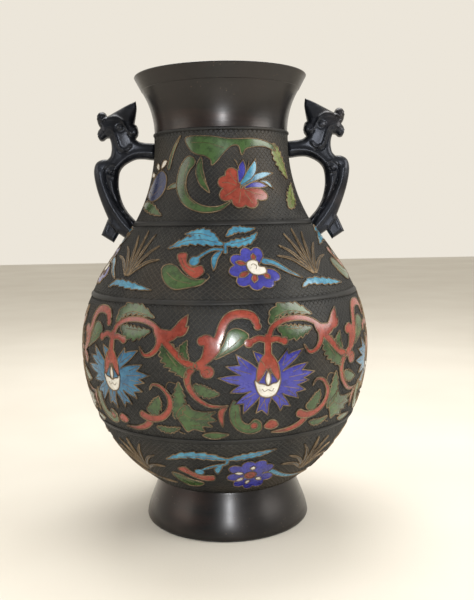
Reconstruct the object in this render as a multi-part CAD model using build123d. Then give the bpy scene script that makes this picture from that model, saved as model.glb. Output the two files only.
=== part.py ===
from build123d import *
import math
import os

# Bronze vase of the hu form with champleve enamel bands, two bird-headed handles and a flared foot.
# Millimetres, +Z up, origin at the centre of the foot's underside. The front faces -Y, and the
# handles stand on the X axis. Angles round the vase are degrees from the front towards +X.

os.makedirs("parts", exist_ok=True)

# ---- Driving dimensions ----

foot_height = 31.0          # floor to the joint under the body
foot_flare = 9.7            # how far the floor edge stands out past the foot's top
foot_setback = 2.6          # how far the foot's top is drawn in from the body's lower edge
foot_wall = 3.4
foot_edge_round = 2.4
foot_ledge_thick = 3.0      # inward ledge that carries the base plate
foot_ledge_reach = 8.0
foot_shoulder_share = 0.8   # height of the foot's shoulder, as a share of the foot
foot_waist_share = 0.15     # how much of the flare is reached at the foot's shoulder
foot_bulge_share = 0.74     # how much of the flare is reached at the foot's fullest point
foot_bulge_rise = 0.4       # height of that point, as a share of the foot

belly_radius = 98.2         # widest radius of the belly, at its equator
equator_rise = 92.0         # foot joint to the equator
lower_bow = 112.0           # arc radius of the belly below the equator
upper_bow = 95.0            # arc radius of the belly above the equator
shoulder_angle = 35.0       # slope of the shoulder cone from the vertical
shoulder_rise = 82.5        # equator to the body's upper edge
cast_wall = 2.5             # wall of the body and neck castings

lower_bead_rise = 46.0      # foot joint to the bead between lower band and belly band
middle_bead_rise = 130.0    # foot joint to the bead between belly band and shoulder band

neck_height = 61.9          # body joint to the collar joint
neck_bow = 107.0            # arc radius of the hollow of the neck
neck_straight = 5.4         # upright stretch at the top of the neck

collar_height = 37.6        # neck joint to the lip
collar_bow = 54.0
lip_height = 9.5            # steeper band under the lip's edge
lip_flare = 5.1
collar_wall = 2.8

bead_radius = 1.6
bead_sink = 0.6             # depth of the bead's centre under the casting's face
rim_radius = 1.1            # small raised rims that close the bands

spigot_depth = 6.0
spigot_wall = 2.2
joint_clearance = 0.1

base_plate_thick = 2.0
solder_leg = 2.0

cell_wall_width = 0.8       # bronze left between two cells of enamel
enamel_seat = 0.05          # bed between the casting's face and the enamel
enamel_depth = 0.7
band_margin = 1.6           # plain strip between a bead's centre and its band's ornament
past_belly = 20.0           # how far an outline is drawn past the belly before it is cut to the skin
lobe_half_width = 2.6       # one lobe of a blossom
heart_radius = 2.4          # round middle of a blossom
seed_radius = 1.3           # small cells between a blossom's heart and its lobes
blade_half_width = 1.5      # one blade of grass

handle_thick = 11.0
head_thick = 14.0
crest_thick = 5.0
arm_rise = 50.4             # body joint to the middle of the handle's upper arm
arm_thick = 12.0
bow_reach = 23.9            # body's upper edge to the outermost point of the handle
tail_thick = 6.0
tail_bite = 2.5             # how far the tail tab's root is let into the bow
bow_width = 16.4            # width of the bow in side view, across its fullest point
bow_drop = 16.0             # middle of the upper arm down to the bow's outermost point
bow_seat_rise = 4.6         # body joint to where the bow's inner line meets the neck
tail_drop = 5.0             # body joint down to where the bow's tail meets the shoulder
nape_reach = 10.0           # throat of the neck to the back of the bird's head
brow_reach = 31.0           # throat of the neck to the bird's brow
crown_rise = 18.5           # top of the upper arm to the bird's crown
crest_rise = 27.5           # top of the upper arm to the crest's point
curl_radius = 3.0           # balls that end the beak, the jowl and the nape's curl
eye_radius = 2.1
eye_proud = 0.7             # how far an eye stands out of the head's side
volute_radius = 3.5
volute_proud = 0.8
rivet_diameter = 4.0
rivet_head_diameter = 8.0
rivet_head_height = 2.0
rivet_depth = 7.0           # how far a rivet goes into the handle
foot_rivet_drop = 2.4       # body joint down to the rivet in the bow's tail

# ---- Heights and radii that follow from them ----

body_bottom = foot_height
equator = foot_height + equator_rise
body_top = equator + shoulder_rise
neck_top = body_top + neck_height
throat = neck_top - neck_straight
vase_height = neck_top + collar_height
crease = vase_height - lip_height
lower_bead = foot_height + lower_bead_rise
middle_bead = foot_height + middle_bead_rise
upper_bead = body_top + bead_radius

lower_centre = belly_radius - lower_bow
upper_centre = belly_radius - upper_bow


def body_radius(height, stand_off=0.0):
    """Radius of the body's outer face at a height, moved outwards by stand_off."""
    if height < equator:
        return lower_centre + math.sqrt((lower_bow + stand_off) ** 2 - (height - equator) ** 2)
    slope = math.radians(shoulder_angle)
    tangent_height = equator + (upper_bow + stand_off) * math.sin(slope)
    if height < tangent_height:
        return upper_centre + math.sqrt((upper_bow + stand_off) ** 2 - (height - equator) ** 2)
    tangent_radius = upper_centre + (upper_bow + stand_off) * math.cos(slope)
    return tangent_radius - (height - tangent_height) * math.tan(slope)


body_top_radius = body_radius(body_top)
neck_sweep = math.sqrt(neck_bow ** 2 - (throat - body_top) ** 2)
throat_radius = body_top_radius - (neck_bow - neck_sweep)
neck_centre = throat_radius + neck_bow


def neck_radius(height, stand_off=0.0):
    """Radius of the neck's outer face at a height, moved outwards by stand_off."""
    if height > throat:
        return throat_radius + stand_off
    return neck_centre - math.sqrt((neck_bow - stand_off) ** 2 - (height - throat) ** 2)


def body_line(stand_off):
    """The body's outer line from its lower to its upper edge, moved outwards by stand_off."""
    slope = math.radians(shoulder_angle)
    low = (body_radius(body_bottom, stand_off), body_bottom)
    middle_height = (body_bottom + equator) / 2
    waist = (belly_radius + stand_off, equator)
    turn_height = equator + (upper_bow + stand_off) * math.sin(slope)
    half_turn_height = equator + (upper_bow + stand_off) * math.sin(slope / 2)
    turn = (body_radius(turn_height, stand_off), turn_height)
    return [
        ThreePointArc(low, (body_radius(middle_height, stand_off), middle_height), waist),
        ThreePointArc(waist, (body_radius(half_turn_height, stand_off), half_turn_height), turn),
        Line(turn, (body_radius(body_top, stand_off), body_top)),
    ]


def neck_line(stand_off, low=body_top):
    """The neck's outer line from its lower to its upper edge, moved outwards by stand_off."""
    start = (neck_radius(low, stand_off), low)
    middle_height = (low + throat) / 2
    turn = (throat_radius + stand_off, throat)
    return [
        ThreePointArc(start, (neck_radius(middle_height, stand_off), middle_height), turn),
        Line(turn, (throat_radius + stand_off, neck_top)),
    ]


def turned(edges):
    """A solid of revolution about the vase's axis from a closed loop of edges in radius and height."""
    return revolve(Plane.XZ * make_face(Wire(edges)), Axis.Z)


def ring_between(inner_line, outer_line):
    """A turned shell between two lines that both run upwards."""
    foot_edge = Line(inner_line[0] @ 0, outer_line[0] @ 0)
    top_edge = Line(inner_line[-1] @ 1, outer_line[-1] @ 1)
    return turned([foot_edge, *outer_line, top_edge, *inner_line])


def bead(radius, height, size, sink):
    """A raised ring round the vase with its centre just under the casting's face."""
    return revolve(Plane.XZ * Pos(radius - sink, height) * Circle(size), Axis.Z)


def tube(inner, outer, bottom, top):
    """A plain turned ring."""
    return Pos(0, 0, bottom) * extrude(Circle(outer) - Circle(inner), top - bottom)


# ---- Body casting: belly, shoulder and lower bands in one turned shell, open at both ends ----

body_casting = ring_between(body_line(-cast_wall), body_line(0.0))
body_casting += bead(body_radius(lower_bead), lower_bead, bead_radius, bead_sink)
body_casting += bead(body_radius(middle_bead), middle_bead, bead_radius, bead_sink)
body_opening = body_radius(body_bottom, -cast_wall)
shoulder_opening = body_radius(body_top, -cast_wall)

# ---- Neck casting: hollow-sided neck with the joint bead, and a spigot lapped inside the body ----

neck_spigot = shoulder_opening - joint_clearance
neck_wall_line = neck_line(-cast_wall)
neck_casting = ring_between(neck_wall_line, neck_line(0.0))
neck_casting += bead(body_top_radius, upper_bead, bead_radius, bead_sink)
neck_casting += bead(throat_radius, neck_top - rim_radius, rim_radius, 0.0)
neck_casting += tube(neck_spigot - spigot_wall, neck_spigot, body_top - spigot_depth, body_top)
neck_bore = throat_radius - cast_wall
root_bore = neck_spigot - spigot_wall
neck_casting += tube(root_bore, body_top_radius - bead_sink, body_top, body_top + bead_radius)

# ---- Mouth collar: flared collar with a creased lip, its spigot lapped inside the neck ----

collar_spigot = neck_bore - joint_clearance
collar_bore = collar_spigot - spigot_wall
crease_rise = crease - neck_top
collar_centre = throat_radius + collar_bow
crease_radius = collar_centre - math.sqrt(collar_bow ** 2 - crease_rise ** 2)
half_crease = neck_top + crease_rise / 2
half_crease_radius = collar_centre - math.sqrt(collar_bow ** 2 - (crease_rise / 2) ** 2)
lip_radius = crease_radius + lip_flare
collar_wall_gap = throat_radius - collar_bore
half_crease_bore = half_crease_radius - (collar_wall_gap + collar_wall) / 2
collar_edges = [
    Line((collar_bore, neck_top - spigot_depth), (collar_spigot, neck_top - spigot_depth)),
    Line((collar_spigot, neck_top - spigot_depth), (collar_spigot, neck_top)),
    Line((collar_spigot, neck_top), (throat_radius, neck_top)),
    ThreePointArc((throat_radius, neck_top), (half_crease_radius, half_crease), (crease_radius, crease)),
    Line((crease_radius, crease), (lip_radius, vase_height)),
    Line((lip_radius, vase_height), (lip_radius - collar_wall, vase_height)),
    Line((lip_radius - collar_wall, vase_height), (crease_radius - collar_wall, crease)),
    ThreePointArc(
        (crease_radius - collar_wall, crease),
        (half_crease_bore, half_crease),
        (collar_bore, neck_top),
    ),
    Line((collar_bore, neck_top), (collar_bore, neck_top - spigot_depth)),
]
mouth_collar = turned(collar_edges)

# ---- Foot ring: flared foot with an inward ledge and a spigot inside the body's opening ----

foot_top_radius = body_radius(body_bottom) - foot_setback
foot_edge_radius = foot_top_radius + foot_flare
foot_shoulder = foot_height * foot_shoulder_share
foot_waist = foot_top_radius + foot_flare * foot_waist_share
foot_bulge = foot_top_radius + foot_flare * foot_bulge_share
foot_bulge_height = foot_height * foot_bulge_rise
ledge_inner = foot_top_radius - foot_ledge_reach
ledge_under = foot_height - foot_ledge_thick
foot_sole = foot_edge_radius - foot_edge_round
foot_outer = [
    Line((foot_sole, 0.0), (foot_edge_radius, foot_edge_round)),
    ThreePointArc(
        (foot_edge_radius, foot_edge_round),
        (foot_bulge, foot_bulge_height),
        (foot_waist, foot_shoulder),
    ),
    Line((foot_waist, foot_shoulder), (foot_top_radius, foot_height)),
]
foot_spigot = body_opening - joint_clearance
foot_inner = [
    Line((foot_top_radius, foot_height), (foot_spigot, foot_height)),
    Line((foot_spigot, foot_height), (foot_spigot, foot_height + spigot_depth)),
    Line((foot_spigot, foot_height + spigot_depth), (foot_spigot - spigot_wall, foot_height + spigot_depth)),
    Line((foot_spigot - spigot_wall, foot_height + spigot_depth), (foot_spigot - spigot_wall, foot_height)),
    Line((foot_spigot - spigot_wall, foot_height), (ledge_inner, foot_height)),
    Line((ledge_inner, foot_height), (ledge_inner, ledge_under)),
    Line((ledge_inner, ledge_under), (foot_top_radius - foot_wall, ledge_under)),
    ThreePointArc(
        (foot_top_radius - foot_wall, ledge_under),
        (foot_bulge - foot_wall, foot_bulge_height),
        (foot_sole - foot_wall, 0.0),
    ),
    Line((foot_sole - foot_wall, 0.0), (foot_sole, 0.0)),
]
foot_ring = turned(foot_outer + foot_inner)

# ---- Base plate on the foot's ledge, sealed by a ring of solder ----

plate_radius = foot_spigot - spigot_wall - joint_clearance
plate_top = foot_height + base_plate_thick
base_plate = Pos(0, 0, foot_height) * extrude(Circle(plate_radius), base_plate_thick)
solder_outer = foot_spigot - spigot_wall
solder_edges = [
    Line((solder_outer - solder_leg, plate_top), (solder_outer, plate_top)),
    Line((solder_outer, plate_top), (solder_outer, plate_top + solder_leg)),
    Line((solder_outer, plate_top + solder_leg), (solder_outer - solder_leg, plate_top)),
]
base_solder = turned(solder_edges)

# ---- Handles: one bronze casting each, with a bird's head, an upper arm, a bow and a tail ----

arm_height = body_top + arm_rise
arm_top = arm_height + arm_thick / 2
arm_bottom = arm_height - arm_thick / 2
bow_outer = body_top_radius + bow_reach
bow_inner = bow_outer - bow_width
bow_mid_height = arm_height - bow_drop
seat_height = body_top + bow_seat_rise
seat_radius = neck_radius(seat_height)
tail_height = body_top - tail_drop
tail_radius = body_radius(tail_height)
nape = throat_radius + nape_reach
brow = throat_radius + brow_reach
crown = arm_top + crown_rise


def handle_bow():
    """Upper arm and C-shaped bow in side view, from inside the neck round to inside the shoulder."""
    arm_root = throat_radius - cast_wall
    shoulder_root = seat_radius - cast_wall
    tail_root = tail_radius - cast_wall
    crook = bow_inner - 8.0
    outline = [
        Line((arm_root, arm_bottom), (crook, arm_bottom)),
        ThreePointArc(
            (crook, arm_bottom),
            (bow_inner - 2.0, arm_bottom - 4.5),
            (bow_inner, bow_mid_height - 4.5),
        ),
        ThreePointArc(
            (bow_inner, bow_mid_height - 4.5),
            ((bow_inner + seat_radius) / 2 + 3.0, (bow_mid_height + seat_height) / 2 - 3.0),
            (seat_radius, seat_height),
        ),
        Line((seat_radius, seat_height), (shoulder_root, seat_height)),
        Line((shoulder_root, seat_height), (tail_root, tail_height)),
        Line((tail_root, tail_height), (tail_radius + 3.0, tail_height)),
        ThreePointArc(
            (tail_radius + 3.0, tail_height),
            ((tail_radius + bow_outer) / 2 + 5.0, (tail_height + bow_mid_height) / 2),
            (bow_outer, bow_mid_height),
        ),
        ThreePointArc(
            (bow_outer, bow_mid_height),
            (bow_outer - 1.6, arm_bottom - 3.5),
            (bow_outer - 10.0, arm_bottom + 1.5),
        ),
        Line((bow_outer - 10.0, arm_bottom + 1.5), (bow_outer - 10.0, arm_top)),
        Line((bow_outer - 10.0, arm_top), (arm_root, arm_top)),
        Line((arm_root, arm_top), (arm_root, arm_bottom)),
    ]
    return make_face(Wire(outline))


def bird_head():
    """Head and throat in side view: jowl, parted beak and the root of the crest."""
    outline = [
        Line((nape + 1.5, arm_top - 2.0), (nape, arm_top + 6.0)),
        ThreePointArc((nape, arm_top + 6.0), (nape + 6.0, arm_top + 15.0), (brow, crown)),
        Line((brow, crown), (brow + 3.5, crown - 5.0)),
        Line((brow + 3.5, crown - 5.0), (brow - 1.0, arm_top + 9.5)),
        Line((brow - 1.0, arm_top + 9.5), (brow + 3.5, arm_top + 3.5)),
        Line((brow + 3.5, arm_top + 3.5), (brow - 3.0, arm_top + 3.0)),
        ThreePointArc(
            (brow - 3.0, arm_top + 3.0),
            (brow - 4.5, arm_top - 2.0),
            (brow - 2.0, arm_bottom + 4.0),
        ),
        Line((brow - 2.0, arm_bottom + 4.0), (nape + 1.5, arm_top - 2.0)),
    ]
    return make_face(Wire(outline))


def bird_crest():
    """Pointed crest that sweeps back over the head."""
    root = (nape + 3.5, arm_top + 9.0)
    point = (nape + 1.0, arm_top + crest_rise)
    front = (brow - 1.0, crown - 1.0)
    outline = [Line(root, point), Line(point, front), Line(front, root)]
    return make_face(Wire(outline))


def tail_tab():
    """Leaf-shaped tab that hangs clear of the shoulder at the bow's lower end."""
    root = tail_radius + 4.0
    bitten = (root - tail_bite, tail_height + 1.5)
    outline = [
        Line(bitten, (root + 8.0 - tail_bite, tail_height + 11.5)),
        Line((root + 8.0 - tail_bite, tail_height + 11.5), (root + 8.0, tail_height + 11.5)),
        Line((root + 8.0, tail_height + 11.5), (root + 12.5, tail_height + 0.5)),
        Line((root + 12.5, tail_height + 0.5), (root + 5.0, tail_height - 5.0)),
        Line((root + 5.0, tail_height - 5.0), (root, tail_height + 1.5)),
        Line((root, tail_height + 1.5), bitten),
    ]
    return make_face(Wire(outline))


def plate(face, thickness):
    """A side-view face given its thickness across the handle's middle plane."""
    return extrude(Plane.XZ * face, thickness / 2, both=True)


def filled_vase():
    """The filled volume inside the outer faces of the neck and body, which the handles stand on."""
    axis_foot = (0.0, body_bottom)
    axis_top = (0.0, neck_top)
    edges = [
        Line(axis_foot, body_line(0.0)[0] @ 0),
        *body_line(0.0),
        *neck_line(0.0),
        Line(neck_line(0.0)[-1] @ 1, axis_top),
        Line(axis_top, axis_foot),
    ]
    solid = turned(edges)
    return solid + bead(body_top_radius, upper_bead, bead_radius, bead_sink)


def rivet(face_radius, height, tilt):
    """A rivet from the wall's inner face into the handle, with a domed head inside the vase."""
    seat = Plane(origin=(face_radius, 0, height), z_dir=(math.cos(tilt), 0, math.sin(tilt)))
    shank = extrude(Circle(rivet_diameter / 2), rivet_depth)
    stub = Pos(0, 0, -cast_wall) * extrude(Circle(rivet_diameter / 2), cast_wall)
    head_disc = extrude(Circle(rivet_head_diameter / 2), rivet_head_height)
    head = Pos(0, 0, -cast_wall - rivet_head_height) * head_disc
    return seat * (shank + stub + head)


def handle():
    """One handle on the +X side, cut to sit on the neck, the joint bead and the shoulder."""
    casting = plate(handle_bow(), handle_thick)
    casting += plate(bird_head(), head_thick)
    casting += plate(bird_crest(), crest_thick)
    casting += plate(tail_tab(), tail_thick)
    beak_curl = (brow + 2.6, crown - 2.5)
    jowl_curl = (brow + 3.0, arm_top + 4.6)
    nape_curl = (nape + 1.0, arm_top + 6.5)
    for radius, height in (beak_curl, jowl_curl, nape_curl):
        casting += Pos(radius, 0, height) * Sphere(curl_radius)
    eye = Cylinder(eye_radius, head_thick + 2 * eye_proud, rotation=(90, 0, 0))
    casting += Pos(brow - 9.0, 0, arm_top + 10.5) * eye
    volute = Cylinder(volute_radius, handle_thick + 2 * volute_proud, rotation=(90, 0, 0))
    casting += Pos(bow_outer - 10.6, 0, arm_bottom - 5.5) * volute
    return casting


rivet_tilt = math.radians(shoulder_angle)
foot_rivet_height = body_top - foot_rivet_drop
arm_rivet = rivet(neck_radius(arm_height), arm_height, 0.0)
foot_rivet = rivet(body_radius(foot_rivet_height), foot_rivet_height, rivet_tilt)
rivet_pair = [arm_rivet, foot_rivet]
handle_right = handle() - filled_vase()
for pin in rivet_pair:
    handle_right -= pin
    neck_casting -= pin
    body_casting -= pin
    neck_casting -= Rot(0, 0, 180) * pin
    body_casting -= Rot(0, 0, 180) * pin
handle_left = Rot(0, 0, 180) * handle_right
handle_rivets = rivet_pair + [Rot(0, 0, 180) * pin for pin in rivet_pair]

castings = {
    "body_casting": body_casting,
    "neck_casting": neck_casting,
    "mouth_collar": mouth_collar,
    "foot_ring": foot_ring,
    "base_plate": base_plate,
    "base_solder": base_solder,
    "handle_left": handle_left,
    "handle_right": handle_right,
}
for name, shape in castings.items():
    export_step(shape, f"parts/{name}.step")
export_step(Compound(children=handle_rivets), "parts/handle_rivets.step")

# ---- Enamel ornament: separate cells of glass that lie on the castings' faces ----
#
# A cell is a colour, its points and a size. One point is a round cell with that radius, two points
# are the tips of a leaf with that half-width, and more points are the middle line of a stem with
# that width. Points are (degrees from the front, share of the band's height).

bands = {
    "neck": (upper_bead + band_margin, neck_top - 2 * rim_radius, neck_radius, neck_line),
    "shoulder": (middle_bead + band_margin, upper_bead - band_margin, body_radius, body_line),
    "belly": (lower_bead + band_margin, middle_bead - band_margin, body_radius, body_line),
    "lower": (body_bottom + band_margin, lower_bead - band_margin, body_radius, body_line),
}


def fan(colour, roots, tips, half_width):
    """Leaves that spread from roots to tips, one for each pair."""
    return [(colour, [root, tip], half_width) for root, tip in zip(roots, tips)]


def blossom(colour, centre, reach, heart, seeds):
    """Eight lobes round a heart, with four small cells of the seeds' colour between."""
    seed_reach, lobe_start = 0.42, 0.46
    cells = [(heart, [centre], heart_radius)]
    for turn in range(4):
        swing = math.radians(45 + 90 * turn)
        along, up = math.cos(swing), math.sin(swing)
        spot = (centre[0] + seed_reach * reach[0] * along, centre[1] + seed_reach * reach[1] * up)
        cells.append((seeds, [spot], seed_radius))
    for turn in range(8):
        swing = math.radians(45 * turn)
        along, up = math.cos(swing), math.sin(swing)
        root = (centre[0] + lobe_start * reach[0] * along, centre[1] + lobe_start * reach[1] * up)
        tip = (centre[0] + reach[0] * along, centre[1] + reach[1] * up)
        cells.append((colour, [root, tip], lobe_half_width))
    return cells


def grass(root, tips):
    """A tuft of narrow blades."""
    return [("olive", [root, tip], blade_half_width) for tip in tips]


neck_flower = (
    [("red", [(12.5, 0.37)], 1.8)]
    + fan(
        "red",
        [(11.5, 0.41), (9.5, 0.38), (10, 0.345), (12, 0.32), (14.5, 0.33), (16, 0.345)],
        [(5.5, 0.55), (0, 0.42), (1, 0.25), (10, 0.16), (21, 0.17), (30, 0.26)],
        2.3,
    )
    + fan("cobalt", [(13.5, 0.42), (17, 0.38)], [(17, 0.66), (34, 0.37)], 2.0)
    + fan("turquoise", [(16, 0.42), (18, 0.41)], [(27, 0.66), (42, 0.5)], 2.4)
    + [("green", [(-22, 0.7), (-33, 0.45), (-26, 0.17), (-12, 0.1), (5, 0.2)], 3.2)]
    + fan("green", [(-27, 0.93), (-14, 0.95), (4, 0.93)], [(-7, 0.62), (4, 0.8), (15, 0.73)], 3.0)
    + fan("green", [(18, 0.95), (-17, 0.66)], [(34, 0.86), (-9, 0.3)], 2.0)
)
neck_leaves = fan("lime", [(45, 0.92), (52, 0.12)], [(62, 0.5), (64, 0.42)], 3.5)
neck_bud = (
    [("navy", [(-60, 0.26), (-56, 0.56)], 6.0)]
    + fan("white", [(-62, 0.61), (-54, 0.6)], [(-57, 0.68), (-49, 0.66)], 1.6)
    + fan("green", [(-73, 0.2)], [(-43, 0.08)], 3.0)
)

shoulder_spray = (
    blossom("cobalt", (13.5, 0.4), (10.2, 0.27), "white", "red")
    + fan("turquoise", [(-2, 0.73), (-5, 0.71), (-8, 0.69)], [(-12, 0.91), (-21, 0.87), (-28, 0.68)], 2.0)
    + fan("turquoise", [(3, 0.74), (6, 0.72), (-2, 0.62)], [(20, 0.93), (22, 0.76), (-4, 0.38)], 1.9)
    + fan("red", [(-19, 0.6)], [(-10, 0.3)], 3.0)
    + fan("green", [(-27, 0.5)], [(-14, 0.2)], 2.4)
)
tuft_tips = [(28, 0.62), (34, 0.84), (42, 0.92), (50, 0.84), (56, 0.6)]
shoulder_tuft = grass((42, 0.34), tuft_tips) + [
    ("turquoise", [(27, 0.36), (33, 0.16), (42, 0.17), (50, 0.2), (59, 0.15)], 1.8),
]


def lotus(colour):
    """The belly's lotus with its red calyx, arching stems and leaves."""
    pod = [("white", [(14.7, 0.39)], 4.2), ("white", [(14.7, 0.475)], 1.4)]
    calyx = [("red", [(14.8, 0.79), (14.6, 0.68), (14.7, 0.56)], 2.6)]
    calyx += fan("red", [(13.5, 0.57), (16, 0.57)], [(9.5, 0.45), (20, 0.45)], 1.8)
    calyx += [("red", [(8.5, 0.73)], 1.6), ("red", [(20.5, 0.73)], 1.6)]
    roots = [(9.5, 0.41), (10.5, 0.37), (12, 0.33), (14.7, 0.31), (17.5, 0.33), (19, 0.37), (20, 0.41)]
    tips = [(-1.5, 0.47), (1.5, 0.33), (6.5, 0.21), (15, 0.18), (22.5, 0.22), (28, 0.33), (31, 0.47)]
    petals = fan(colour, roots + [(12, 0.5), (17.5, 0.5)], tips + [(3, 0.64), (27, 0.65)], 3.6)
    arch = [
        ("red", [(16.5, 0.84), (22, 0.9), (29, 0.9), (35, 0.86), (38, 0.74)], 2.6),
        ("red", [(40.5, 0.72), (43, 0.64), (43.5, 0.55)], 2.4),
        ("red", [(-10, 0.56), (-3, 0.72), (1.5, 0.93)], 3.0),
        ("red", [(-12.5, 0.5), (-11.5, 0.38), (-6, 0.29)], 2.6),
        ("red", [(29, 0.22), (35, 0.17), (40, 0.27), (38.5, 0.38), (34, 0.41)], 2.4),
        ("red", [(30, 0.13), (24, 0.1), (17, 0.06)], 2.0),
        ("red", [(11.5, 0.86)], 1.6),
        ("red", [(-8, 0.76)], 1.6),
    ]
    arch += fan("red", [(36.5, 0.9), (4, 0.95), (-5, 0.27)], [(44, 0.95), (11, 0.93), (-1, 0.12)], 1.6)
    leaves = fan("green", [(15.5, 0.92), (27, 0.97), (21, 0.8)], [(26, 0.98), (35, 0.93), (31, 0.83)], 2.0)
    leaves += fan("green", [(-2, 0.62), (36.5, 0.5), (-14, 0.2)], [(8, 0.79), (40.5, 0.64), (-8, 0.17)], 2.2)
    return pod + calyx + petals + arch + leaves


lower_spray = (
    blossom("cobalt", (12.5, 0.4), (11, 0.27), "red", "white")
    + fan("turquoise", [(-2, 0.76), (3, 0.76), (-2, 0.68)], [(-20, 0.84), (20, 0.86), (-12, 0.56)], 2.0)
    + fan("red", [(-21, 0.56)], [(-9, 0.34)], 3.0)
    + fan("green", [(-27, 0.42)], [(-14, 0.18)], 2.4)
)
lower_tuft = grass((42, 0.4), tuft_tips) + [
    ("turquoise", [(28, 0.4), (33, 0.27), (41, 0.24), (48, 0.26), (58, 0.2)], 1.8),
]

# Band, degrees at the middle of the group, first turn, number of copies, and the cells.
groups = [
    ("neck", 5, 0, 2, neck_flower),
    ("neck", 55, 0, 2, neck_leaves),
    ("neck", -59, 0, 2, neck_bud),
    ("shoulder", -3, 0, 4, shoulder_spray),
    ("shoulder", 42, 0, 4, shoulder_tuft),
    ("belly", 14.7, 0, 3, lotus("cobalt")),
    ("belly", 14.7, 60, 3, lotus("teal")),
    ("lower", -3, 0, 4, lower_spray),
    ("lower", 42, 0, 4, lower_tuft),
]


def on_plane(band, middle, point):
    """Where a point of the band lies on the upright plane through the axis that faces the group's middle."""
    low, high, radius_at, _ = bands[band]
    height = low + point[1] * (high - low)
    return (radius_at(height) * math.sin(math.radians(point[0] - middle)), height)


def cell_outline(spots, size):
    """A round cell, a leaf or a stem from its points on the plane."""
    if len(spots) == 1:
        return Pos(*spots[0]) * Circle(size)
    if len(spots) == 2:
        root, tip = Vector(*spots[0]), Vector(*spots[1])
        across = (tip - root).rotate(Axis.Z, 90).normalized() * size
        belly_point = (root + tip) * 0.5
        far_side = ThreePointArc(root, belly_point + across, tip)
        near_side = ThreePointArc(tip, belly_point - across, root)
        return Sketch() + make_face(Wire([far_side, near_side]))
    outline = Sketch()
    for first in range(0, len(spots) - 2, 2):
        stretch = ThreePointArc(*spots[first : first + 3])
        outline += trace(stretch, size)
        outline += Pos(*spots[first]) * Circle(size / 2)
    return outline + Pos(*spots[-1]) * Circle(size / 2)


def enamel_skin(band):
    """The turned skin of a band in which its enamel lies."""
    line = bands[band][3]
    return ring_between(line(enamel_seat), line(enamel_depth))


def drawn_out(band, middle, outline, skin):
    """An outline pushed outwards from its plane and kept only within the skin."""
    facing = math.radians(middle)
    plane = Plane(
        origin=(0, 0, 0),
        x_dir=(math.cos(facing), math.sin(facing), 0),
        z_dir=(math.sin(facing), -math.cos(facing), 0),
    )
    return extrude(plane * outline, belly_radius + past_belly) & skin


skins = {band: enamel_skin(band) for band in bands}
ornament = {}
for band, middle, first_turn, copies, cells in groups:
    walled = Sketch()
    fills = {}
    for colour, points, size in cells:
        outline = cell_outline([on_plane(band, middle, point) for point in points], size)
        fills[colour] = fills.get(colour, Sketch()) + (outline - walled)
        walled += offset(outline, cell_wall_width, kind=Kind.ARC)
    for colour, fill in fills.items():
        solids = drawn_out(band, middle, fill, skins[band]).solids()
        for copy in range(copies):
            turn = Rot(0, 0, first_turn + 360 / copies * copy)
            ornament.setdefault(f"{band}_enamel_{colour}", []).extend(turn * solid for solid in solids)

for name, solids in ornament.items():
    export_step(Compound(children=solids), f"parts/{name}.step")
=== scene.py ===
import math
import bmesh
import bpy
import numpy as np
from mathutils import Matrix, Vector
from mathutils.geometry import delaunay_2d_cdt


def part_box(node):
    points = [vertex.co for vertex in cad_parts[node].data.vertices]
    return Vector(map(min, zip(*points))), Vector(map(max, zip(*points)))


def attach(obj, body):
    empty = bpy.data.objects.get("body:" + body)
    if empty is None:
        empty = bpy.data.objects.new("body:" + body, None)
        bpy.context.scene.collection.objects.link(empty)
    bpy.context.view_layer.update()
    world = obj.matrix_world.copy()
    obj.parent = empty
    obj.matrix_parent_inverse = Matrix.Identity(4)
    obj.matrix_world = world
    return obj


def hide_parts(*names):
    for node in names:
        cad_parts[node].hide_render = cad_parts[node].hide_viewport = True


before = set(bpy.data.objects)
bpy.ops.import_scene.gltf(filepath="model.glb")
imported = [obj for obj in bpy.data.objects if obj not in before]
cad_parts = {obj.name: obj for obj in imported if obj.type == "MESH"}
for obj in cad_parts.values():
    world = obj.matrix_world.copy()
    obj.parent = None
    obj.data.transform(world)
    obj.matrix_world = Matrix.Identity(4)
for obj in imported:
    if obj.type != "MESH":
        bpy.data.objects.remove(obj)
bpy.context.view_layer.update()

# ---- Camera, light and floor ----
# The vase stands on a pale cloth in plain soft light, in a room that is paler above and behind it
# than in front. The camera is as high as the neck, half a metre away, and looks slightly down at
# the belly, with a small lamp close beside it.

vase_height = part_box("mouth_collar")[1][2]
mm = vase_height / 305

camera_data = bpy.data.cameras.new("camera")
camera_data.sensor_width = 36
camera_data.lens = 45.76
camera_data.shift_x = 0.0217
camera = bpy.data.objects.new("camera", camera_data)
bpy.context.scene.collection.objects.link(camera)
camera_distance = 532 * mm
camera_height = 212 * mm
downward = Matrix.Rotation(math.radians(90 - 6.36), 4, "X")
sideways = Matrix.Rotation(math.radians(-1.04), 4, "Z")
camera.matrix_world = Matrix.Translation((0, -camera_distance, camera_height)) @ (downward @ sideways)
bpy.context.scene.camera = camera

world = bpy.data.worlds.new("studio")
world.use_nodes = True
studio = world.node_tree
facing = studio.nodes.new("ShaderNodeTexCoord")
split = studio.nodes.new("ShaderNodeSeparateXYZ")
fade = studio.nodes.new("ShaderNodeMapRange")
fade.inputs["From Min"].default_value = -0.45
fade.inputs["From Max"].default_value = 0.75
shade = studio.nodes.new("ShaderNodeMix")
shade.data_type = "RGBA"
near_grey = (0.3, 0.3, 0.3, 1)
far_cream = (0.84, 0.79, 0.7, 1)
shade.inputs[6].default_value = near_grey
shade.inputs[7].default_value = far_cream
studio.links.new(facing.outputs["Generated"], split.inputs[0])
lifted = studio.nodes.new("ShaderNodeMath")
lifted.operation = "MULTIPLY_ADD"
lifted.inputs[1].default_value = 0.9
studio.links.new(split.outputs["Z"], lifted.inputs[0])
studio.links.new(split.outputs["Y"], lifted.inputs[2])
studio.links.new(lifted.outputs[0], fade.inputs["Value"])
studio.links.new(fade.outputs[0], shade.inputs[0])
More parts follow.
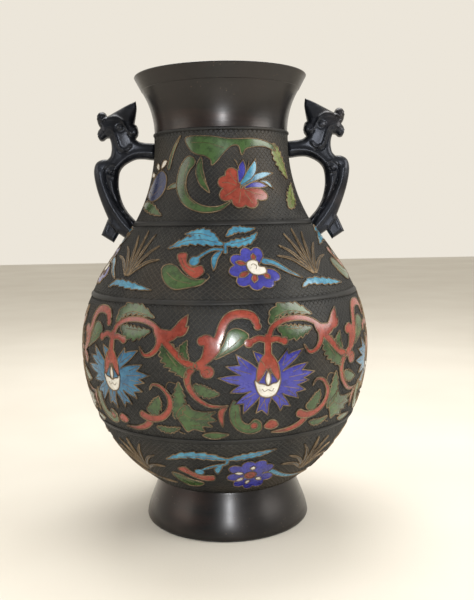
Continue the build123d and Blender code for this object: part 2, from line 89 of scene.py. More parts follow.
studio.links.new(shade.outputs[2], studio.nodes["Background"].inputs["Color"])
bpy.context.scene.world = world
bpy.context.scene.view_settings.view_transform = "Standard"


def soft_light(name, place, aim, size, power, colour):
    """A square soft box at a place, turned towards a point of the vase."""
    data = bpy.data.lights.new(name, "AREA")
    data.size = size
    data.energy = power
    data.color = colour
    lamp = bpy.data.objects.new(name, data)
    lamp.location = place
    lamp.visible_camera = False
    lamp.rotation_euler = (Vector(aim) - Vector(place)).to_track_quat("-Z", "Y").to_euler()
    bpy.context.scene.collection.objects.link(lamp)


middle = (0, 0, 0.5 * vase_height)
soft_light("near_lamp", (0.03, -0.6, 0.225), middle, 0.045, 1.45, (0.96, 0.98, 1))
soft_light("right_box", (0.75, -0.25, 0.5), middle, 0.5, 5.0, (1, 0.97, 0.92))
soft_light("left_box", (-0.8, -0.3, 0.45), middle, 0.5, 1.8, (1, 0.93, 0.84))
soft_light("top_box", (0, 0.3, 0.95), middle, 0.6, 6.0, (1, 1, 1))


class Signal:
    """A socket in a finish's node tree that can be used in sums like a number."""

    def __init__(self, finish, socket):
        self.finish = finish
        self.socket = socket

    def joined(self, operation, first, second):
        return self.finish.node("ShaderNodeMath", {"operation": operation}, {0: first, 1: second})

    def __add__(self, other):
        return self.joined("ADD", self, other)

    def __sub__(self, other):
        return self.joined("SUBTRACT", self, other)

    def __rsub__(self, other):
        return self.joined("SUBTRACT", other, self)

    def __mul__(self, other):
        return self.joined("MULTIPLY", self, other)


class Finish:
    """A material whose nodes are added one call at a time."""

    def __init__(self, name):
        self.material = bpy.data.materials.new(name)
        self.material.use_nodes = True
        self.tree = self.material.node_tree
        self.shader = self.tree.nodes["Principled BSDF"]
        self.place = self.node("ShaderNodeTexCoord", {}, {}, "Object")

    def node(self, kind, settings, inputs, output=0):
        made = self.tree.nodes.new(kind)
        for name, value in settings.items():
            setattr(made, name, value)
        for key, value in inputs.items():
            if isinstance(value, Signal):
                self.tree.links.new(value.socket, made.inputs[key])
            else:
                made.inputs[key].default_value = value
        return Signal(self, made.outputs[output])

    def noise(self, scale, detail=4.0, roughness=0.55, stretch=(1, 1, 1), offset=(0, 0, 0)):
        placing = {"Vector": self.place, "Scale": stretch, "Location": offset}
        spot = self.node("ShaderNodeMapping", {}, placing)
        texture = {"Vector": spot, "Scale": scale, "Detail": detail, "Roughness": roughness}
        return self.node("ShaderNodeTexNoise", {}, texture, "Fac")

    def specks(self, scale):
        return self.node("ShaderNodeTexVoronoi", {}, {"Vector": self.place, "Scale": scale}, "Distance")

    def spread(self, value, low, high):
        """The value stretched so that low becomes 0 and high becomes 1."""
        return self.node("ShaderNodeMapRange", {}, {"Value": value, "From Min": low, "From Max": high})

    def blend(self, factor, first, second):
        """The first colour at factor 0, the second at factor 1."""
        colours = {0: factor, 6: first, 7: second}
        return self.node("ShaderNodeMix", {"data_type": "RGBA", "blend_type": "MIX"}, colours, 2)

    def attribute(self, name):
        return self.node("ShaderNodeAttribute", {"attribute_name": name}, {}, "Fac")

    def feed(self, name, value):
        if isinstance(value, Signal):
            self.tree.links.new(value.socket, self.shader.inputs[name])
        else:
            self.shader.inputs[name].default_value = value

    def bump(self, height, strength, distance):
        relief = {"Height": height, "Strength": strength, "Distance": distance}
        self.feed("Normal", self.node("ShaderNodeBump", {}, relief))


def rgb(red, green, blue):
    return (red, green, blue, 1)


cloth = Finish("table_cloth")
weave = cloth.noise(900, 2)
folds = cloth.noise(5, 2)
cloth_tone = cloth.blend(cloth.spread(folds, 0.3, 0.7), rgb(0.68, 0.64, 0.565), rgb(0.74, 0.705, 0.63))
cloth.feed("Base Color", cloth_tone)
cloth.feed("Roughness", 0.95)
cloth.bump(weave, 0.15, 0.0006)
bpy.ops.mesh.primitive_plane_add(size=6)
floor = bpy.context.object
floor.name = "floor"
floor.data.materials.append(cloth.material)

# ---- Body casting ----
# The belly, shoulder and lower bands are one hollow bronze casting, open at both ends. Its face is
# sunk between raised beads, nearly black and matt, and chased all over with a fine diaper.

body_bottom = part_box("body_casting")[0][2]
body_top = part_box("body_casting")[1][2]
cast_wall = 2.5 * mm
lower_bow = 112.0 * mm
upper_bow = 95.0 * mm
belly_radius = 98.2 * mm
equator = body_bottom + 92.0 * mm
shoulder_slope = math.radians(35)
lower_bead = body_bottom + 46.0 * mm
middle_bead = body_bottom + 130.0 * mm
bead_half_height = 1.5 * mm
bead_rise = 1.0 * mm
fit_gap = 0.1 * mm
spigot_wall = 2.2 * mm
segments = 256                  # flat sides of a turned shell


def body_radius(height):
    """Radius of the body's face at heights given as an array or a number."""
    height = np.asarray(height, float)
    fall = height - equator
    lower = belly_radius - lower_bow + np.sqrt(np.maximum(lower_bow**2 - fall**2, 0))
    upper = belly_radius - upper_bow + np.sqrt(np.maximum(upper_bow**2 - fall**2, 0))
    turn = upper_bow * math.sin(shoulder_slope)
    turn_radius = belly_radius - upper_bow + upper_bow * math.cos(shoulder_slope)
    cone = turn_radius - (fall - turn) * math.tan(shoulder_slope)
    return np.where(fall < 0, lower, np.where(fall < turn, upper, cone))


def with_bead(radius_at, bead_height, half_height, rise):
    """The same line with a rounded bead at a height."""
    def raised(height):
        height = np.asarray(height, float)
        share = np.clip(np.abs(height - bead_height) / half_height, 0, 1)
        return radius_at(height) + rise * np.sqrt(1 - share**2)

    return raised


def heights_with_beads(low, high, count, beads):
    """Heights up a face, with more over each bead, given as its middle, half-height and how many."""
    rows = [np.linspace(low, high, count)]
    rows += [np.linspace(middle - half, middle + half, steps) for middle, half, steps in beads]
    return np.unique(np.concatenate(rows))


def turned_mesh(name, line, crisp=35):
    """A closed solid of revolution from a loop of (radius, height) points that runs upwards outside."""
    line = np.asarray(line, float)
    count = len(line)
    turns = np.linspace(0, 2 * np.pi, segments, endpoint=False)
    x = np.outer(np.cos(turns), line[:, 0])
    y = np.outer(np.sin(turns), line[:, 0])
    z = np.repeat(line[None, :, 1], segments, axis=0)
    rows = np.stack([x, y, z], axis=2).reshape(-1, 3)
    faces = []
    for turn in range(segments):
        here, there = turn * count, (turn + 1) % segments * count
        for step in range(count):
            after = (step + 1) % count
            faces.append((here + step, there + step, there + after, here + after))
    return finished_mesh(name, rows, faces, crisp)


def finished_mesh(name, points, faces, crisp=35):
    """A mesh object at the origin with outward faces, smooth but for edges sharper than crisp degrees."""
    data = bpy.data.meshes.new(name)
    data.from_pydata([tuple(point) for point in points], [], faces)
    shape = bmesh.new()
    shape.from_mesh(data)
    bmesh.ops.recalc_face_normals(shape, faces=shape.faces)
    shape.to_mesh(data)
    shape.free()
    data.shade_smooth()
    data.set_sharp_from_angle(angle=math.radians(crisp))
    piece = bpy.data.objects.new(name, data)
    bpy.context.scene.collection.objects.link(piece)
    return piece


def placed(piece, finish, slot, *nodes):
    """Gives a piece its finish, fixes it to the vase and lets it stand for its CAD nodes."""
    if not piece.data.materials:
        piece.data.materials.append(finish.material)
    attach(piece, "root")
    if nodes:
        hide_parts(*nodes)


def metal_ground(name, dark, light, warm):
    """Matt patinated bronze, dark in its hollows, with warm rubbed patches and fine casting grain."""
    finish = Finish(name)
    cloud = finish.noise(38, 5)
    patch = finish.noise(16, 3, offset=(3, 1, 2))
    grain = finish.noise(1500, 2)
    tone = finish.blend(finish.spread(cloud, 0.35, 0.68), dark, light)
    tone = finish.blend(finish.spread(patch, 0.52, 0.7) * 0.6, tone, warm)
    finish.feed("Base Color", finish.blend(finish.spread(grain, 0.3, 0.7) * 0.35, tone, light))
    finish.feed("Metallic", 0.55)
    finish.feed("Roughness", finish.spread(cloud, 0.1, 0.9) * 0.2 + 0.42)
    finish.bump(grain + cloud * 0.4, 0.35, 0.0003)
    return finish


ground = metal_ground(
    "band_ground", rgb(0.011, 0.0115, 0.0125), rgb(0.032, 0.032, 0.031), rgb(0.05, 0.039, 0.028)
)

body_line = with_bead(body_radius, lower_bead, bead_half_height, bead_rise)
body_line = with_bead(body_line, middle_bead, bead_half_height, bead_rise)
body_beads = [(lower_bead, bead_half_height, 11), (middle_bead, bead_half_height, 11)]
body_heights = heights_with_beads(body_bottom, body_top, 90, body_beads)
body_outside = np.column_stack([body_line(body_heights), body_heights])
inner_heights = np.linspace(body_top, body_bottom, 40)
inner_lean = np.gradient(body_radius(inner_heights), inner_heights)
inner_radii = body_radius(inner_heights) - cast_wall * np.sqrt(1 + inner_lean**2)
body = turned_mesh("body_shell", np.vstack([body_outside, np.column_stack([inner_radii, inner_heights])]))
placed(body, ground, "band_bronze", "body_casting")

# ---- Neck casting ----
# The hollow-sided neck is a second casting. Its lower end laps inside the body, a bead hides the
# joint, and a small rim closes its ornament under the collar.

neck_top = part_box("neck_casting")[1][2]
throat = neck_top - 5.4 * mm
neck_bow = 107.0 * mm
neck_foot_radius = float(body_radius(body_top))
throat_radius = neck_foot_radius - neck_bow + math.sqrt(neck_bow**2 - (throat - body_top) ** 2)
upper_bead = body_top + 1.6 * mm
rim_half_height = 1.1 * mm
neck_rim = neck_top - rim_half_height
lap = 6.0 * mm


def neck_radius(height):
    """Radius of the neck's face at heights given as an array or a number."""
    fall = np.minimum(np.asarray(height, float) - throat, 0)
    return throat_radius + neck_bow - np.sqrt(neck_bow**2 - fall**2)


neck_line = with_bead(neck_radius, upper_bead, bead_half_height, bead_rise)
neck_line = with_bead(neck_line, neck_rim, rim_half_height, bead_rise)
neck_beads = [(upper_bead, bead_half_height, 11), (neck_rim, rim_half_height, 9)]
neck_heights = heights_with_beads(body_top, neck_top, 44, neck_beads)
neck_outside = np.column_stack([neck_line(neck_heights), neck_heights])
spigot_radius = inner_radii[0] - fit_gap
spigot_bore = spigot_radius - spigot_wall
bore_heights = np.linspace(neck_top, body_top + 3 * mm, 20)
bore_radii = np.minimum(neck_radius(bore_heights) - cast_wall * 1.05, spigot_bore)
neck_inside = np.vstack(
    [
        np.column_stack([bore_radii, bore_heights]),
        [(spigot_bore, body_top), (spigot_bore, body_top - lap)],
        [(spigot_radius, body_top - lap), (spigot_radius, body_top)],
    ]
)
neck = turned_mesh("neck_shell", np.vstack([neck_outside, neck_inside]))
placed(neck, ground, "band_bronze", "neck_casting")

# ---- Mouth collar ----
# The plain flared collar is cast apart and lapped inside the neck. It is turned smooth and patinated
# dark brown, nearly black, with reddish clouds and a soft sheen. A crease sets off the lip.

crease = vase_height - 9.5 * mm
collar_bow = 54.0 * mm
collar_wall = 2.8 * mm
collar_bore = throat_radius - cast_wall - 2.3 * mm


def polished_patina(name, dark, mid, warm, gloss):
    """Smooth dark patina with reddish clouds, faint turning lines and small worn specks."""
    finish = Finish(name)
    cloud = finish.noise(17, 6, 0.62)
    drift = finish.noise(7, 4, stretch=(1, 1, 3.5), offset=(5, 2, 0))
    turning = finish.noise(60, 3, stretch=(0.3, 0.3, 14))
    speck = finish.spread(finish.specks(420), 0.16, 0.05) * finish.spread(finish.noise(60), 0.5, 0.62)
    tone = finish.blend(finish.spread(cloud, 0.36, 0.66), dark, mid)
    tone = finish.blend(finish.spread(drift, 0.5, 0.72) * 0.75, tone, warm)
    tone = finish.blend(finish.spread(turning, 0.45, 0.75) * 0.25, tone, mid)
    finish.feed("Base Color", finish.blend(speck * 0.5, tone, rgb(0.2, 0.13, 0.075)))
    finish.feed("Metallic", 0.45)
    roughness = finish.spread(cloud, 0.2, 0.8) * 0.2 + finish.spread(turning, 0.3, 0.8) * 0.08 + gloss
    finish.feed("Roughness", roughness)
    finish.feed("Coat Weight", 0.25)
    finish.feed("Coat Roughness", 0.25)
    finish.bump(cloud * 0.5 + turning * 0.5 + speck * -0.6, 0.25, 0.0004)
    return finish


plain_bronze = polished_patina(
    "plain_patina", rgb(0.004, 0.0036, 0.0038), rgb(0.014, 0.0105, 0.0095), rgb(0.05, 0.021, 0.013), 0.2
)
collar_rise = np.linspace(0, crease - neck_top, 26)
collar_hollow = throat_radius + collar_bow - np.sqrt(collar_bow**2 - collar_rise**2)
crease_radius = collar_hollow[-1]
lip_radius = crease_radius + 5.1 * mm
lip_round = 0.7 * mm
inner_rise = collar_rise[::-1]
inner_share = inner_rise / inner_rise[0]
inner_hollow = collar_bore + (crease_radius - collar_wall - collar_bore) * inner_share**1.9
collar_spigot = throat_radius - cast_wall - fit_gap
collar_loop = np.vstack(
    [
        [(collar_spigot, neck_top - lap), (collar_spigot, neck_top)],
        np.column_stack([collar_hollow, neck_top + collar_rise]),
        [(crease_radius + 0.35 * mm, crease + 0.15 * mm)],
        [(lip_radius - 0.1 * mm, vase_height - lip_round), (lip_radius - 0.35 * mm, vase_height - 0.2 * mm)],
        [(lip_radius - lip_round, vase_height), (lip_radius - collar_wall + lip_round, vase_height)],
        [(lip_radius - collar_wall, vase_height - lip_round)],
        np.column_stack([inner_hollow, neck_top + inner_rise]),
        [(collar_bore, neck_top - lap)],
    ]
)
collar = turned_mesh("collar_shell", collar_loop, crisp=24)
placed(collar, plain_bronze, "plain_bronze", "mouth_collar")

# ---- Foot ring, base plate and solder ----
# The flared foot is turned smooth like the collar. A ledge inside it carries a dull sheet-bronze
# base plate, and a ring of grey solder seals the plate from above.

foot_top_radius = float(body_radius(body_bottom)) - 2.6 * mm
foot_flare = 9.7 * mm
foot_wall = 3.4 * mm
edge_round = 2.4 * mm
foot_share = np.linspace(1, 0, 24)
foot_heights = edge_round + (body_bottom - edge_round) * (1 - foot_share)
foot_profile = 0.55 * foot_share**0.8 + 0.45 * np.sin(foot_share * math.pi / 2) ** 2
foot_swell = foot_top_radius + foot_flare * foot_profile
edge_turns = np.linspace(-math.pi / 2, 0, 6)[:-1]
edge_across = foot_swell[0] - edge_round + edge_round * np.cos(edge_turns)
foot_edge = np.column_stack([edge_across, edge_round + edge_round * np.sin(edge_turns)])
ledge = body_bottom - 3.0 * mm
ledge_bore = foot_top_radius - 8 * mm
foot_spigot = inner_radii[-1] - fit_gap
foot_loop = np.vstack(
    [
        [(foot_swell[0] - foot_wall - edge_round, 0)],
        foot_edge,
        np.column_stack([foot_swell, foot_heights]),
        [(foot_spigot, body_bottom), (foot_spigot, body_bottom + lap)],
        [(foot_spigot - spigot_wall, body_bottom + lap), (foot_spigot - spigot_wall, body_bottom)],
        [(ledge_bore, body_bottom), (ledge_bore, ledge)],
        [(foot_top_radius - foot_wall, ledge)],
        np.column_stack([foot_swell[::-1] - foot_wall, foot_heights[::-1]])[5:-1],
    ]
)
foot = turned_mesh("foot_shell", foot_loop, crisp=30)
placed(foot, plain_bronze, "plain_bronze", "foot_ring")

dull_plate = metal_ground("base_sheet", rgb(0.05, 0.04, 0.03), rgb(0.13, 0.1, 0.07), rgb(0.16, 0.09, 0.05))
grey_solder = metal_ground("grey_solder", rgb(0.16, 0.16, 0.16), rgb(0.3, 0.3, 0.3), rgb(0.22, 0.2, 0.17))
node_finishes = {"base_plate": dull_plate, "base_solder": grey_solder, "handle_rivets": plain_bronze}
for node, finish in node_finishes.items():
    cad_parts[node].data.materials.clear()
    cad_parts[node].data.materials.append(finish.material)

# ---- Handles ----
# Each handle is one blue-black bronze casting: an upper arm that meets the neck, a bird's head with a
# swept crest and curled beak, a C-shaped bow with a volute and a long groove, and a tail tab. The
# left handle is the right one turned half way round the vase.

handle_rise = 255.9 - 257.1     # the arm's real height less its height in the outline below, in mm


def smooth_path(points, spacing, closed=False):
    """Points a given distance apart along a Catmull-Rom curve through the given points."""
    points = np.asarray(points, float)
    if closed:
        rows = np.vstack([points[-1], points, points[:2]])
    else:
        rows = np.vstack([2 * points[0] - points[1], points, 2 * points[-1] - points[-2]])
    stretches = []
    for start in range(len(rows) - 3):
        before, here, there, beyond = rows[start : start + 4]
        steps = max(int(np.ceil(np.linalg.norm(there - here) / spacing)), 1)
        share = np.linspace(0, 1, steps, endpoint=False)[:, None]
        straight = (there - before) * share
        curved = (2 * before - 5 * here + 4 * there - beyond) * share**2
        twisted = (3 * here - before - 3 * there + beyond) * share**3
        stretches.append(0.5 * (2 * here + straight + curved + twisted))
    if not closed:
        stretches.append(points[-1:])
    return np.vstack(stretches)


def nearest(spots, path):
    """Distance from each spot to a polyline."""
    starts, ends = path[:-1], path[1:]
    along = ends - starts
    length = np.maximum((along**2).sum(axis=1), 1e-12)
    best = np.full(len(spots), np.inf)
    for start, step, size in zip(starts, along, length):
        share = np.clip(((spots - start) @ step) / size, 0, 1)
        gap = np.linalg.norm(spots - start - share[:, None] * step, axis=1)
        best = np.minimum(best, gap)
    return best


def inside(spots, loop):
    """True for each spot within a closed loop."""
    result = np.zeros(len(spots), bool)
    across, up = spots[:, 0], spots[:, 1]
    for (x1, y1), (x2, y2) in zip(loop, np.roll(loop, -1, axis=0)):
        spans = (y1 > up) != (y2 > up)
        if y1 != y2:
            result ^= spans & (across < (x2 - x1) * (up - y1) / (y2 - y1) + x1)
    return result


# Outline runs, in mm from the axis and above the floor. Each run is smooth, and runs meet in corners.
handle_runs = [
    [(57.7, 291.3), (57.2, 286.5), (57.9, 281.2), (58.9, 276)],
    [(58.9, 276), (57.3, 274.6), (56.4, 271), (56.9, 267.8), (58.3, 265.8)],
    [(58.3, 265.8), (56.2, 264.3), (52.5, 263.4), (48, 263), (43.8, 262.8)],
    [(43.8, 262.8), (43.8, 251)],
    [(43.8, 251), (48, 251.4), (53.5, 252.1), (58.5, 251.9), (63.5, 249.9), (67.4, 247.2), (70, 243.4),
     (71, 237.5), (70.8, 231), (68.9, 223), (65.6, 216.6), (62, 212.2), (59.2, 209.2), (57, 206.5)],
    [(57, 206.5), (60, 199.5)],
    [(60, 199.5), (63, 197), (66.3, 197.4), (72.1, 201.4)],
    [(72.1, 201.4), (75.9, 195.4)],
    [(75.9, 195.4), (84.4, 200.9)],
    [(84.4, 200.9), (79.3, 212.2)],
    [(79.3, 212.2), (81.4, 217.4), (84, 224.6), (86.2, 232), (87.6, 239), (87.9, 245), (86.4, 249.8),
     (82.8, 252.2), (78.2, 252.6)],
    [(78.2, 252.6), (76.2, 255), (75.3, 259), (75.4, 263), (76.3, 266.6)],
    [(76.3, 266.6), (78.3, 266.4), (80.4, 264.8), (82.9, 265.2), (84.4, 268.4), (84.2, 271.4), (82.5, 273.8)],
    [(82.5, 273.8), (83.9, 276.4), (84.5, 280), (83.3, 283.5), (80.8, 284.6), (78.6, 283.6), (77.4, 281.5)],
    [(77.4, 281.5), (72, 284.4), (64, 288.6), (57.7, 291.3)],
]
handle_loop = np.vstack([smooth_path(run, 0.7)[:-1] for run in handle_runs])

volute_turns = np.linspace(0, 3.6 * math.pi, 60)
volute_size = 4.6 * (1 - volute_turns / volute_turns[-1] * 0.86)
volute_across = 75.4 + volute_size * np.cos(2.3 - volute_turns)
volute_up = 244.2 + volute_size * np.sin(2.3 - volute_turns)
# Each line on the handle's face has its points, its width and how far it stands out or sinks, in mm.
drawn_lines = [
    ([(79.7, 245.6), (79.6, 240), (78.3, 234), (75.2, 226.7), (70.3, 218.3), (65, 211), (61, 204)],
     0.75, -1.3),
    ([(72.1, 240.5), (72.7, 235), (71.6, 228.5), (68.9, 221.8), (64.6, 215), (60, 209.5)], 0.7, -0.8),
    ([(83.4, 244), (82.4, 236.8), (79.8, 229), (75.8, 219.8), (70.3, 211), (64, 203.4)], 1.6, 0.8),
    ([(75.9, 238), (75, 231.8), (71.9, 224.2), (67.4, 217), (62, 210.2)], 1.0, 0.6),
    ([(81.5, 278.6), (77.5, 279.8), (73, 280.6), (69.5, 280), (66.4, 277.6), (64.6, 273.9), (62.8, 270.7),
      (59.7, 269.1)], 0.85, 0.9),
    ([(79.5, 276.6), (76, 277.4), (73, 277.6), (69.8, 277)], 0.7, -0.5),
    ([(80.5, 270.5), (76.8, 272.8), (73.9, 272.3), (71.8, 268.6), (70.4, 263.9), (69.3, 260.4), (66.4, 258.3),
      (63.4, 258.9), (61.5, 260.9)], 0.85, 1.0),
    ([(73.6, 268), (72.3, 263.4), (71.4, 259.6), (68.4, 256.5), (64, 256.2)], 0.7, -0.7),
    ([(44, 255.6), (50, 256.6), (57, 256.4), (63, 254.4), (68, 250.6), (72.2, 246)], 1.5, 0.7),
    ([(76.8, 210.8), (79.9, 203.5)], 0.5, -0.3),
]
handle_marks = [(np.column_stack([volute_across, volute_up]), 0.55, 0.75)]
handle_marks += [(smooth_path(points, 1), width, rise) for points, width, rise in drawn_lines]
# Round features: centre, radius and how far the dome's centre lies off the middle plane, in mm.
handle_domes = [
    ((81.2, 280.6), 3.4, 2.6),
    ((81.6, 268.4), 3.1, 2.4),
    ((59.3, 270.4), 3.3, 3.4),
    ((68, 273.1), 2.2, 5.6),
    ((75.4, 244.2), 1.7, 4.9),
]

grid_step = 0.72
across = np.arange(42, 90, grid_step)
up = np.arange(194, 293, grid_step * math.sqrt(3) / 2)
grid = np.array([(a + grid_step / 2 * (row % 2), b) for row, b in enumerate(up) for a in across])
grid = grid[inside(grid, handle_loop)]
closed_loop = np.vstack([handle_loop, handle_loop[:1]])
grid = grid[nearest(grid, closed_loop) > 0.36]
loop_count = len(handle_loop)
flat_points, _, flat_faces, _, _, flat_owners = delaunay_2d_cdt(
    [Vector(point) for point in np.vstack([handle_loop, grid])],
    [],
    [list(range(loop_count))],
    1,
    1e-5,
    True,
)
flat = np.array([tuple(point) for point in flat_points])
edge_gap = nearest(flat, closed_loop)

# Half thickness: full in the bow, fuller in the head, thin in the crest and the tail tab.
head_swell = np.exp(-(((flat[:, 0] - 68) / 9.5) ** 2) - ((flat[:, 1] - 270) / 11) ** 2)
crest_fade = np.clip((flat[:, 1] - 277 - 0.12 * (flat[:, 0] - 58)) / 9, 0, 1)
tail_low = (70.5, 199.8)
tail_high = (80.6, 215)
tail_side = (flat[:, 0] - tail_low[0]) * (tail_high[1] - tail_low[1])
tail_side = tail_side - (flat[:, 1] - tail_low[1]) * (tail_high[0] - tail_low[0])
tail_fade = np.clip(tail_side / 26, 0, 1) * (flat[:, 1] < 214)
half_thick = 5.4 + 1.6 * head_swell
crest_thick = 1.6 + 0.9 * np.clip((290 - flat[:, 1]) / 9, 0, 1)
half_thick = half_thick * (1 - crest_fade) + crest_thick * crest_fade
half_thick = half_thick * (1 - tail_fade) + 2.6 * tail_fade
edge_round_width = np.minimum(half_thick, 4.2)
ease = 1 - np.clip(edge_gap / edge_round_width, 0, 1)
relief = half_thick * np.sqrt(np.clip(1 - ease**2.2, 0, 1))
for line, width, rise in handle_marks:
    relief += rise * np.exp(-((nearest(flat, line) / width) ** 2)) * np.clip(edge_gap / 1.2, 0, 1)
for centre, size, lift in handle_domes:
    gap = np.linalg.norm(flat - centre, axis=1)
    dome = lift + np.sqrt(np.maximum(size**2 - gap**2, 0))
    within = (gap < size) & (edge_gap > 0.01)
    relief = np.where(within, np.maximum(relief, dome), relief)
    relief -= 0.5 * np.exp(-(((gap - size - 0.5) / 0.5) ** 2)) * np.clip(edge_gap / 1.5, 0, 1)
on_edge = edge_gap < 1e-3
relief = np.where(on_edge, 0, np.maximum(relief, 0.15))

count = len(flat)
front = np.column_stack([flat[:, 0], relief, flat[:, 1] + handle_rise]) * mm
back = front * (1, -1, 1)
merge = np.where(on_edge, np.arange(count), np.arange(count) + count)
kept_faces = [tuple(face) for face, owners in zip(flat_faces, flat_owners) if owners]
handle_faces = kept_faces + [tuple(int(merge[corner]) for corner in reversed(face)) for face in kept_faces]
handle_points = np.vstack([front, back])

blue_black = Finish("handle_patina")
tarnish = blue_black.noise(60, 5)
rub = blue_black.noise(24, 3, offset=(2, 7, 1))
pits = blue_black.noise(700, 3)
tarnished = blue_black.spread(tarnish, 0.35, 0.7)
skin = blue_black.blend(tarnished, rgb(0.008, 0.009, 0.012), rgb(0.024, 0.027, 0.036))
skin = blue_black.blend(blue_black.spread(rub, 0.56, 0.74) * 0.5, skin, rgb(0.052, 0.038, 0.029))
blue_black.feed("Base Color", skin)
blue_black.feed("Metallic", 0.6)
blue_black.feed("Roughness", blue_black.spread(tarnish, 0.2, 0.8) * 0.18 + 0.24)
blue_black.bump(pits + tarnish * 0.8, 0.22, 0.0003)

for side, name in ((1, "handle_right"), (-1, "handle_left")):
    casting = finished_mesh(name + "_casting", handle_points * (side, side, 1), handle_faces, 50)
    shape = bmesh.new()
    shape.from_mesh(casting.data)
    loose = [vertex for vertex in shape.verts if not vertex.link_faces]
    bmesh.ops.delete(shape, geom=loose, context="VERTS")
    shape.to_mesh(casting.data)
    shape.free()
    placed(casting, blue_black, "handle_bronze", name)

# ---- Diaper ground ----
# Between the beads the bands are chased with two families of fine slanting ridges that cross in
# small diamonds. Each family is one ridge that climbs its band, repeated round the vase.

bead_margin = 1.6 * mm
bands = {
    "neck": (upper_bead + bead_margin, neck_top - 2.2 * mm, neck_radius),
    "shoulder": (middle_bead + bead_margin, upper_bead - bead_margin, body_radius),
    "belly": (lower_bead + bead_margin, middle_bead - bead_margin, body_radius),
    "lower": (body_bottom + bead_margin, lower_bead - bead_margin, body_radius),
}


def on_band(band, degrees, share, lift=0.0):
    """Points that stand off a band's face, for degrees from the front and shares of its height."""
    low, high, radius_at = bands[band]
    height = low + np.asarray(share) * (high - low)
    step = 0.05 * mm
    lean = (radius_at(height + step) - radius_at(height - step)) / (2 * step)
    steep = np.sqrt(1 + lean**2)
    radius = radius_at(height) + lift / steep
    turn = np.radians(degrees)
    return np.column_stack([radius * np.sin(turn), -radius * np.cos(turn), height - lift * lean / steep])


def ring_of_copies(name, source, copies, first_turn, finish):
    """Copies of a mesh turned about the vase's axis by geometry nodes, made one plain mesh."""
    tree = bpy.data.node_groups.new(name + "_ring", "GeometryNodeTree")
    tree.interface.new_socket("Geometry", in_out="INPUT", socket_type="NodeSocketGeometry")
    copies_input = tree.interface.new_socket("Copies", in_out="INPUT", socket_type="NodeSocketInt")
    turn_input = tree.interface.new_socket("First turn", in_out="INPUT", socket_type="NodeSocketFloat")
    tree.interface.new_socket("Geometry", in_out="OUTPUT", socket_type="NodeSocketGeometry")

    def add(kind, links, **settings):
        made = tree.nodes.new(kind)
        for key, value in settings.items():
            setattr(made, key, value)
        for key, value in links.items():
            if isinstance(value, bpy.types.NodeSocket):
                tree.links.new(value, made.inputs[key])
            else:
                made.inputs[key].default_value = value
        return made.outputs

    given = add("NodeGroupInput", {})
    line = add("GeometryNodeMeshLine", {"Count": given["Copies"], "Offset": (0, 0, 0)}, mode="OFFSET")
    index = add("GeometryNodeInputIndex", {})
    share = add("ShaderNodeMath", {0: index[0], 1: given["Copies"]}, operation="DIVIDE")
    angle = {0: share[0], 1: 2 * math.pi, 2: given["First turn"]}
    turn = add("ShaderNodeMath", angle, operation="MULTIPLY_ADD")
    lean = add("ShaderNodeCombineXYZ", {"Z": turn[0]})
    standing = {"Points": line["Mesh"], "Instance": given["Geometry"], "Rotation": lean[0]}
    placed_copies = add("GeometryNodeInstanceOnPoints", standing)
    real = add("GeometryNodeRealizeInstances", {0: placed_copies[0]})
    painted = add("GeometryNodeSetMaterial", {"Geometry": real[0], "Material": finish.material})
    add("NodeGroupOutput", {0: painted[0]})
    modifier = source.modifiers.new("ring", "NODES")
    modifier.node_group = tree
    modifier[copies_input.identifier] = copies
    modifier[turn_input.identifier] = first_turn
    graph = bpy.context.evaluated_depsgraph_get()
    data = bpy.data.meshes.new_from_object(source.evaluated_get(graph))
    source.modifiers.clear()
    bpy.data.objects.remove(source)
    data.name = name
    ring = bpy.data.objects.new(name, data)
    bpy.context.scene.collection.objects.link(ring)
    return ring


def bare_mesh(name, points, faces, extras=None):
    """A mesh object from points and faces that already face outwards, with optional point attributes."""
    data = bpy.data.meshes.new(name)
    data.from_pydata([tuple(point) for point in points], [], [tuple(face) for face in faces])
    for key, values in (extras or {}).items():
        layer = data.attributes.new(key, "FLOAT", "POINT")
        layer.data.foreach_set("value", np.asarray(values, np.float32))
    data.shade_smooth()
    piece = bpy.data.objects.new(name, data)
    bpy.context.scene.collection.objects.link(piece)
    return piece


def joined(name, pieces):
    """Several mesh objects made one."""
    first = pieces[0]
    with bpy.context.temp_override(active_object=first, object=first, selected_editable_objects=pieces):
        bpy.ops.object.join()
    first.name = name
    first.data.name = name
    return first


diaper_pitch = 2.5 * mm
diaper_rise = 0.3 * mm
diaper_half_width = 0.42 * mm
diaper_sink = -0.08 * mm
chased = metal_ground(
    "diaper_ridges", rgb(0.022, 0.022, 0.022), rgb(0.055, 0.053, 0.047), rgb(0.088, 0.068, 0.046)
)
for band, (low, high, radius_at) in bands.items():
    mean_radius = float(np.mean(radius_at(np.linspace(low, high, 9))))
    heights = np.linspace(0, 1, 20)
    levels = low + heights * (high - low)
    slant = np.hypot(np.diff(levels), np.diff(radius_at(levels)))
    climb = np.degrees(np.concatenate([[0], np.cumsum(slant)]) / mean_radius)
    families = []
    for way in (1, -1):
        across_degrees = math.degrees(diaper_half_width * math.sqrt(2) / mean_radius)
        middle_line = on_band(band, way * climb, heights, diaper_rise)
        left_line = on_band(band, way * climb - across_degrees, heights, diaper_sink)
        right_line = on_band(band, way * climb + across_degrees, heights, diaper_sink)
        points = np.vstack([left_line, middle_line, right_line])
        size = len(heights)
        faces = []
        for row in range(size - 1):
            for corner, beside in ((row, size + row), (size + row, 2 * size + row), (2 * size + row, row)):
                faces.append((corner, beside, beside + 1, corner + 1))
        faces.append((2 * size, size, 0))
        faces.append((size - 1, 2 * size - 1, 3 * size - 1))
        ridge = bare_mesh("ridge", points, faces)
        copies = round(2 * math.pi * mean_radius / (diaper_pitch * math.sqrt(2)))
        families.append(ring_of_copies(f"{band}_diaper_{way}", ridge, copies, 0.0, chased))
    placed(joined(f"{band}_diaper", families), chased, "band_bronze")

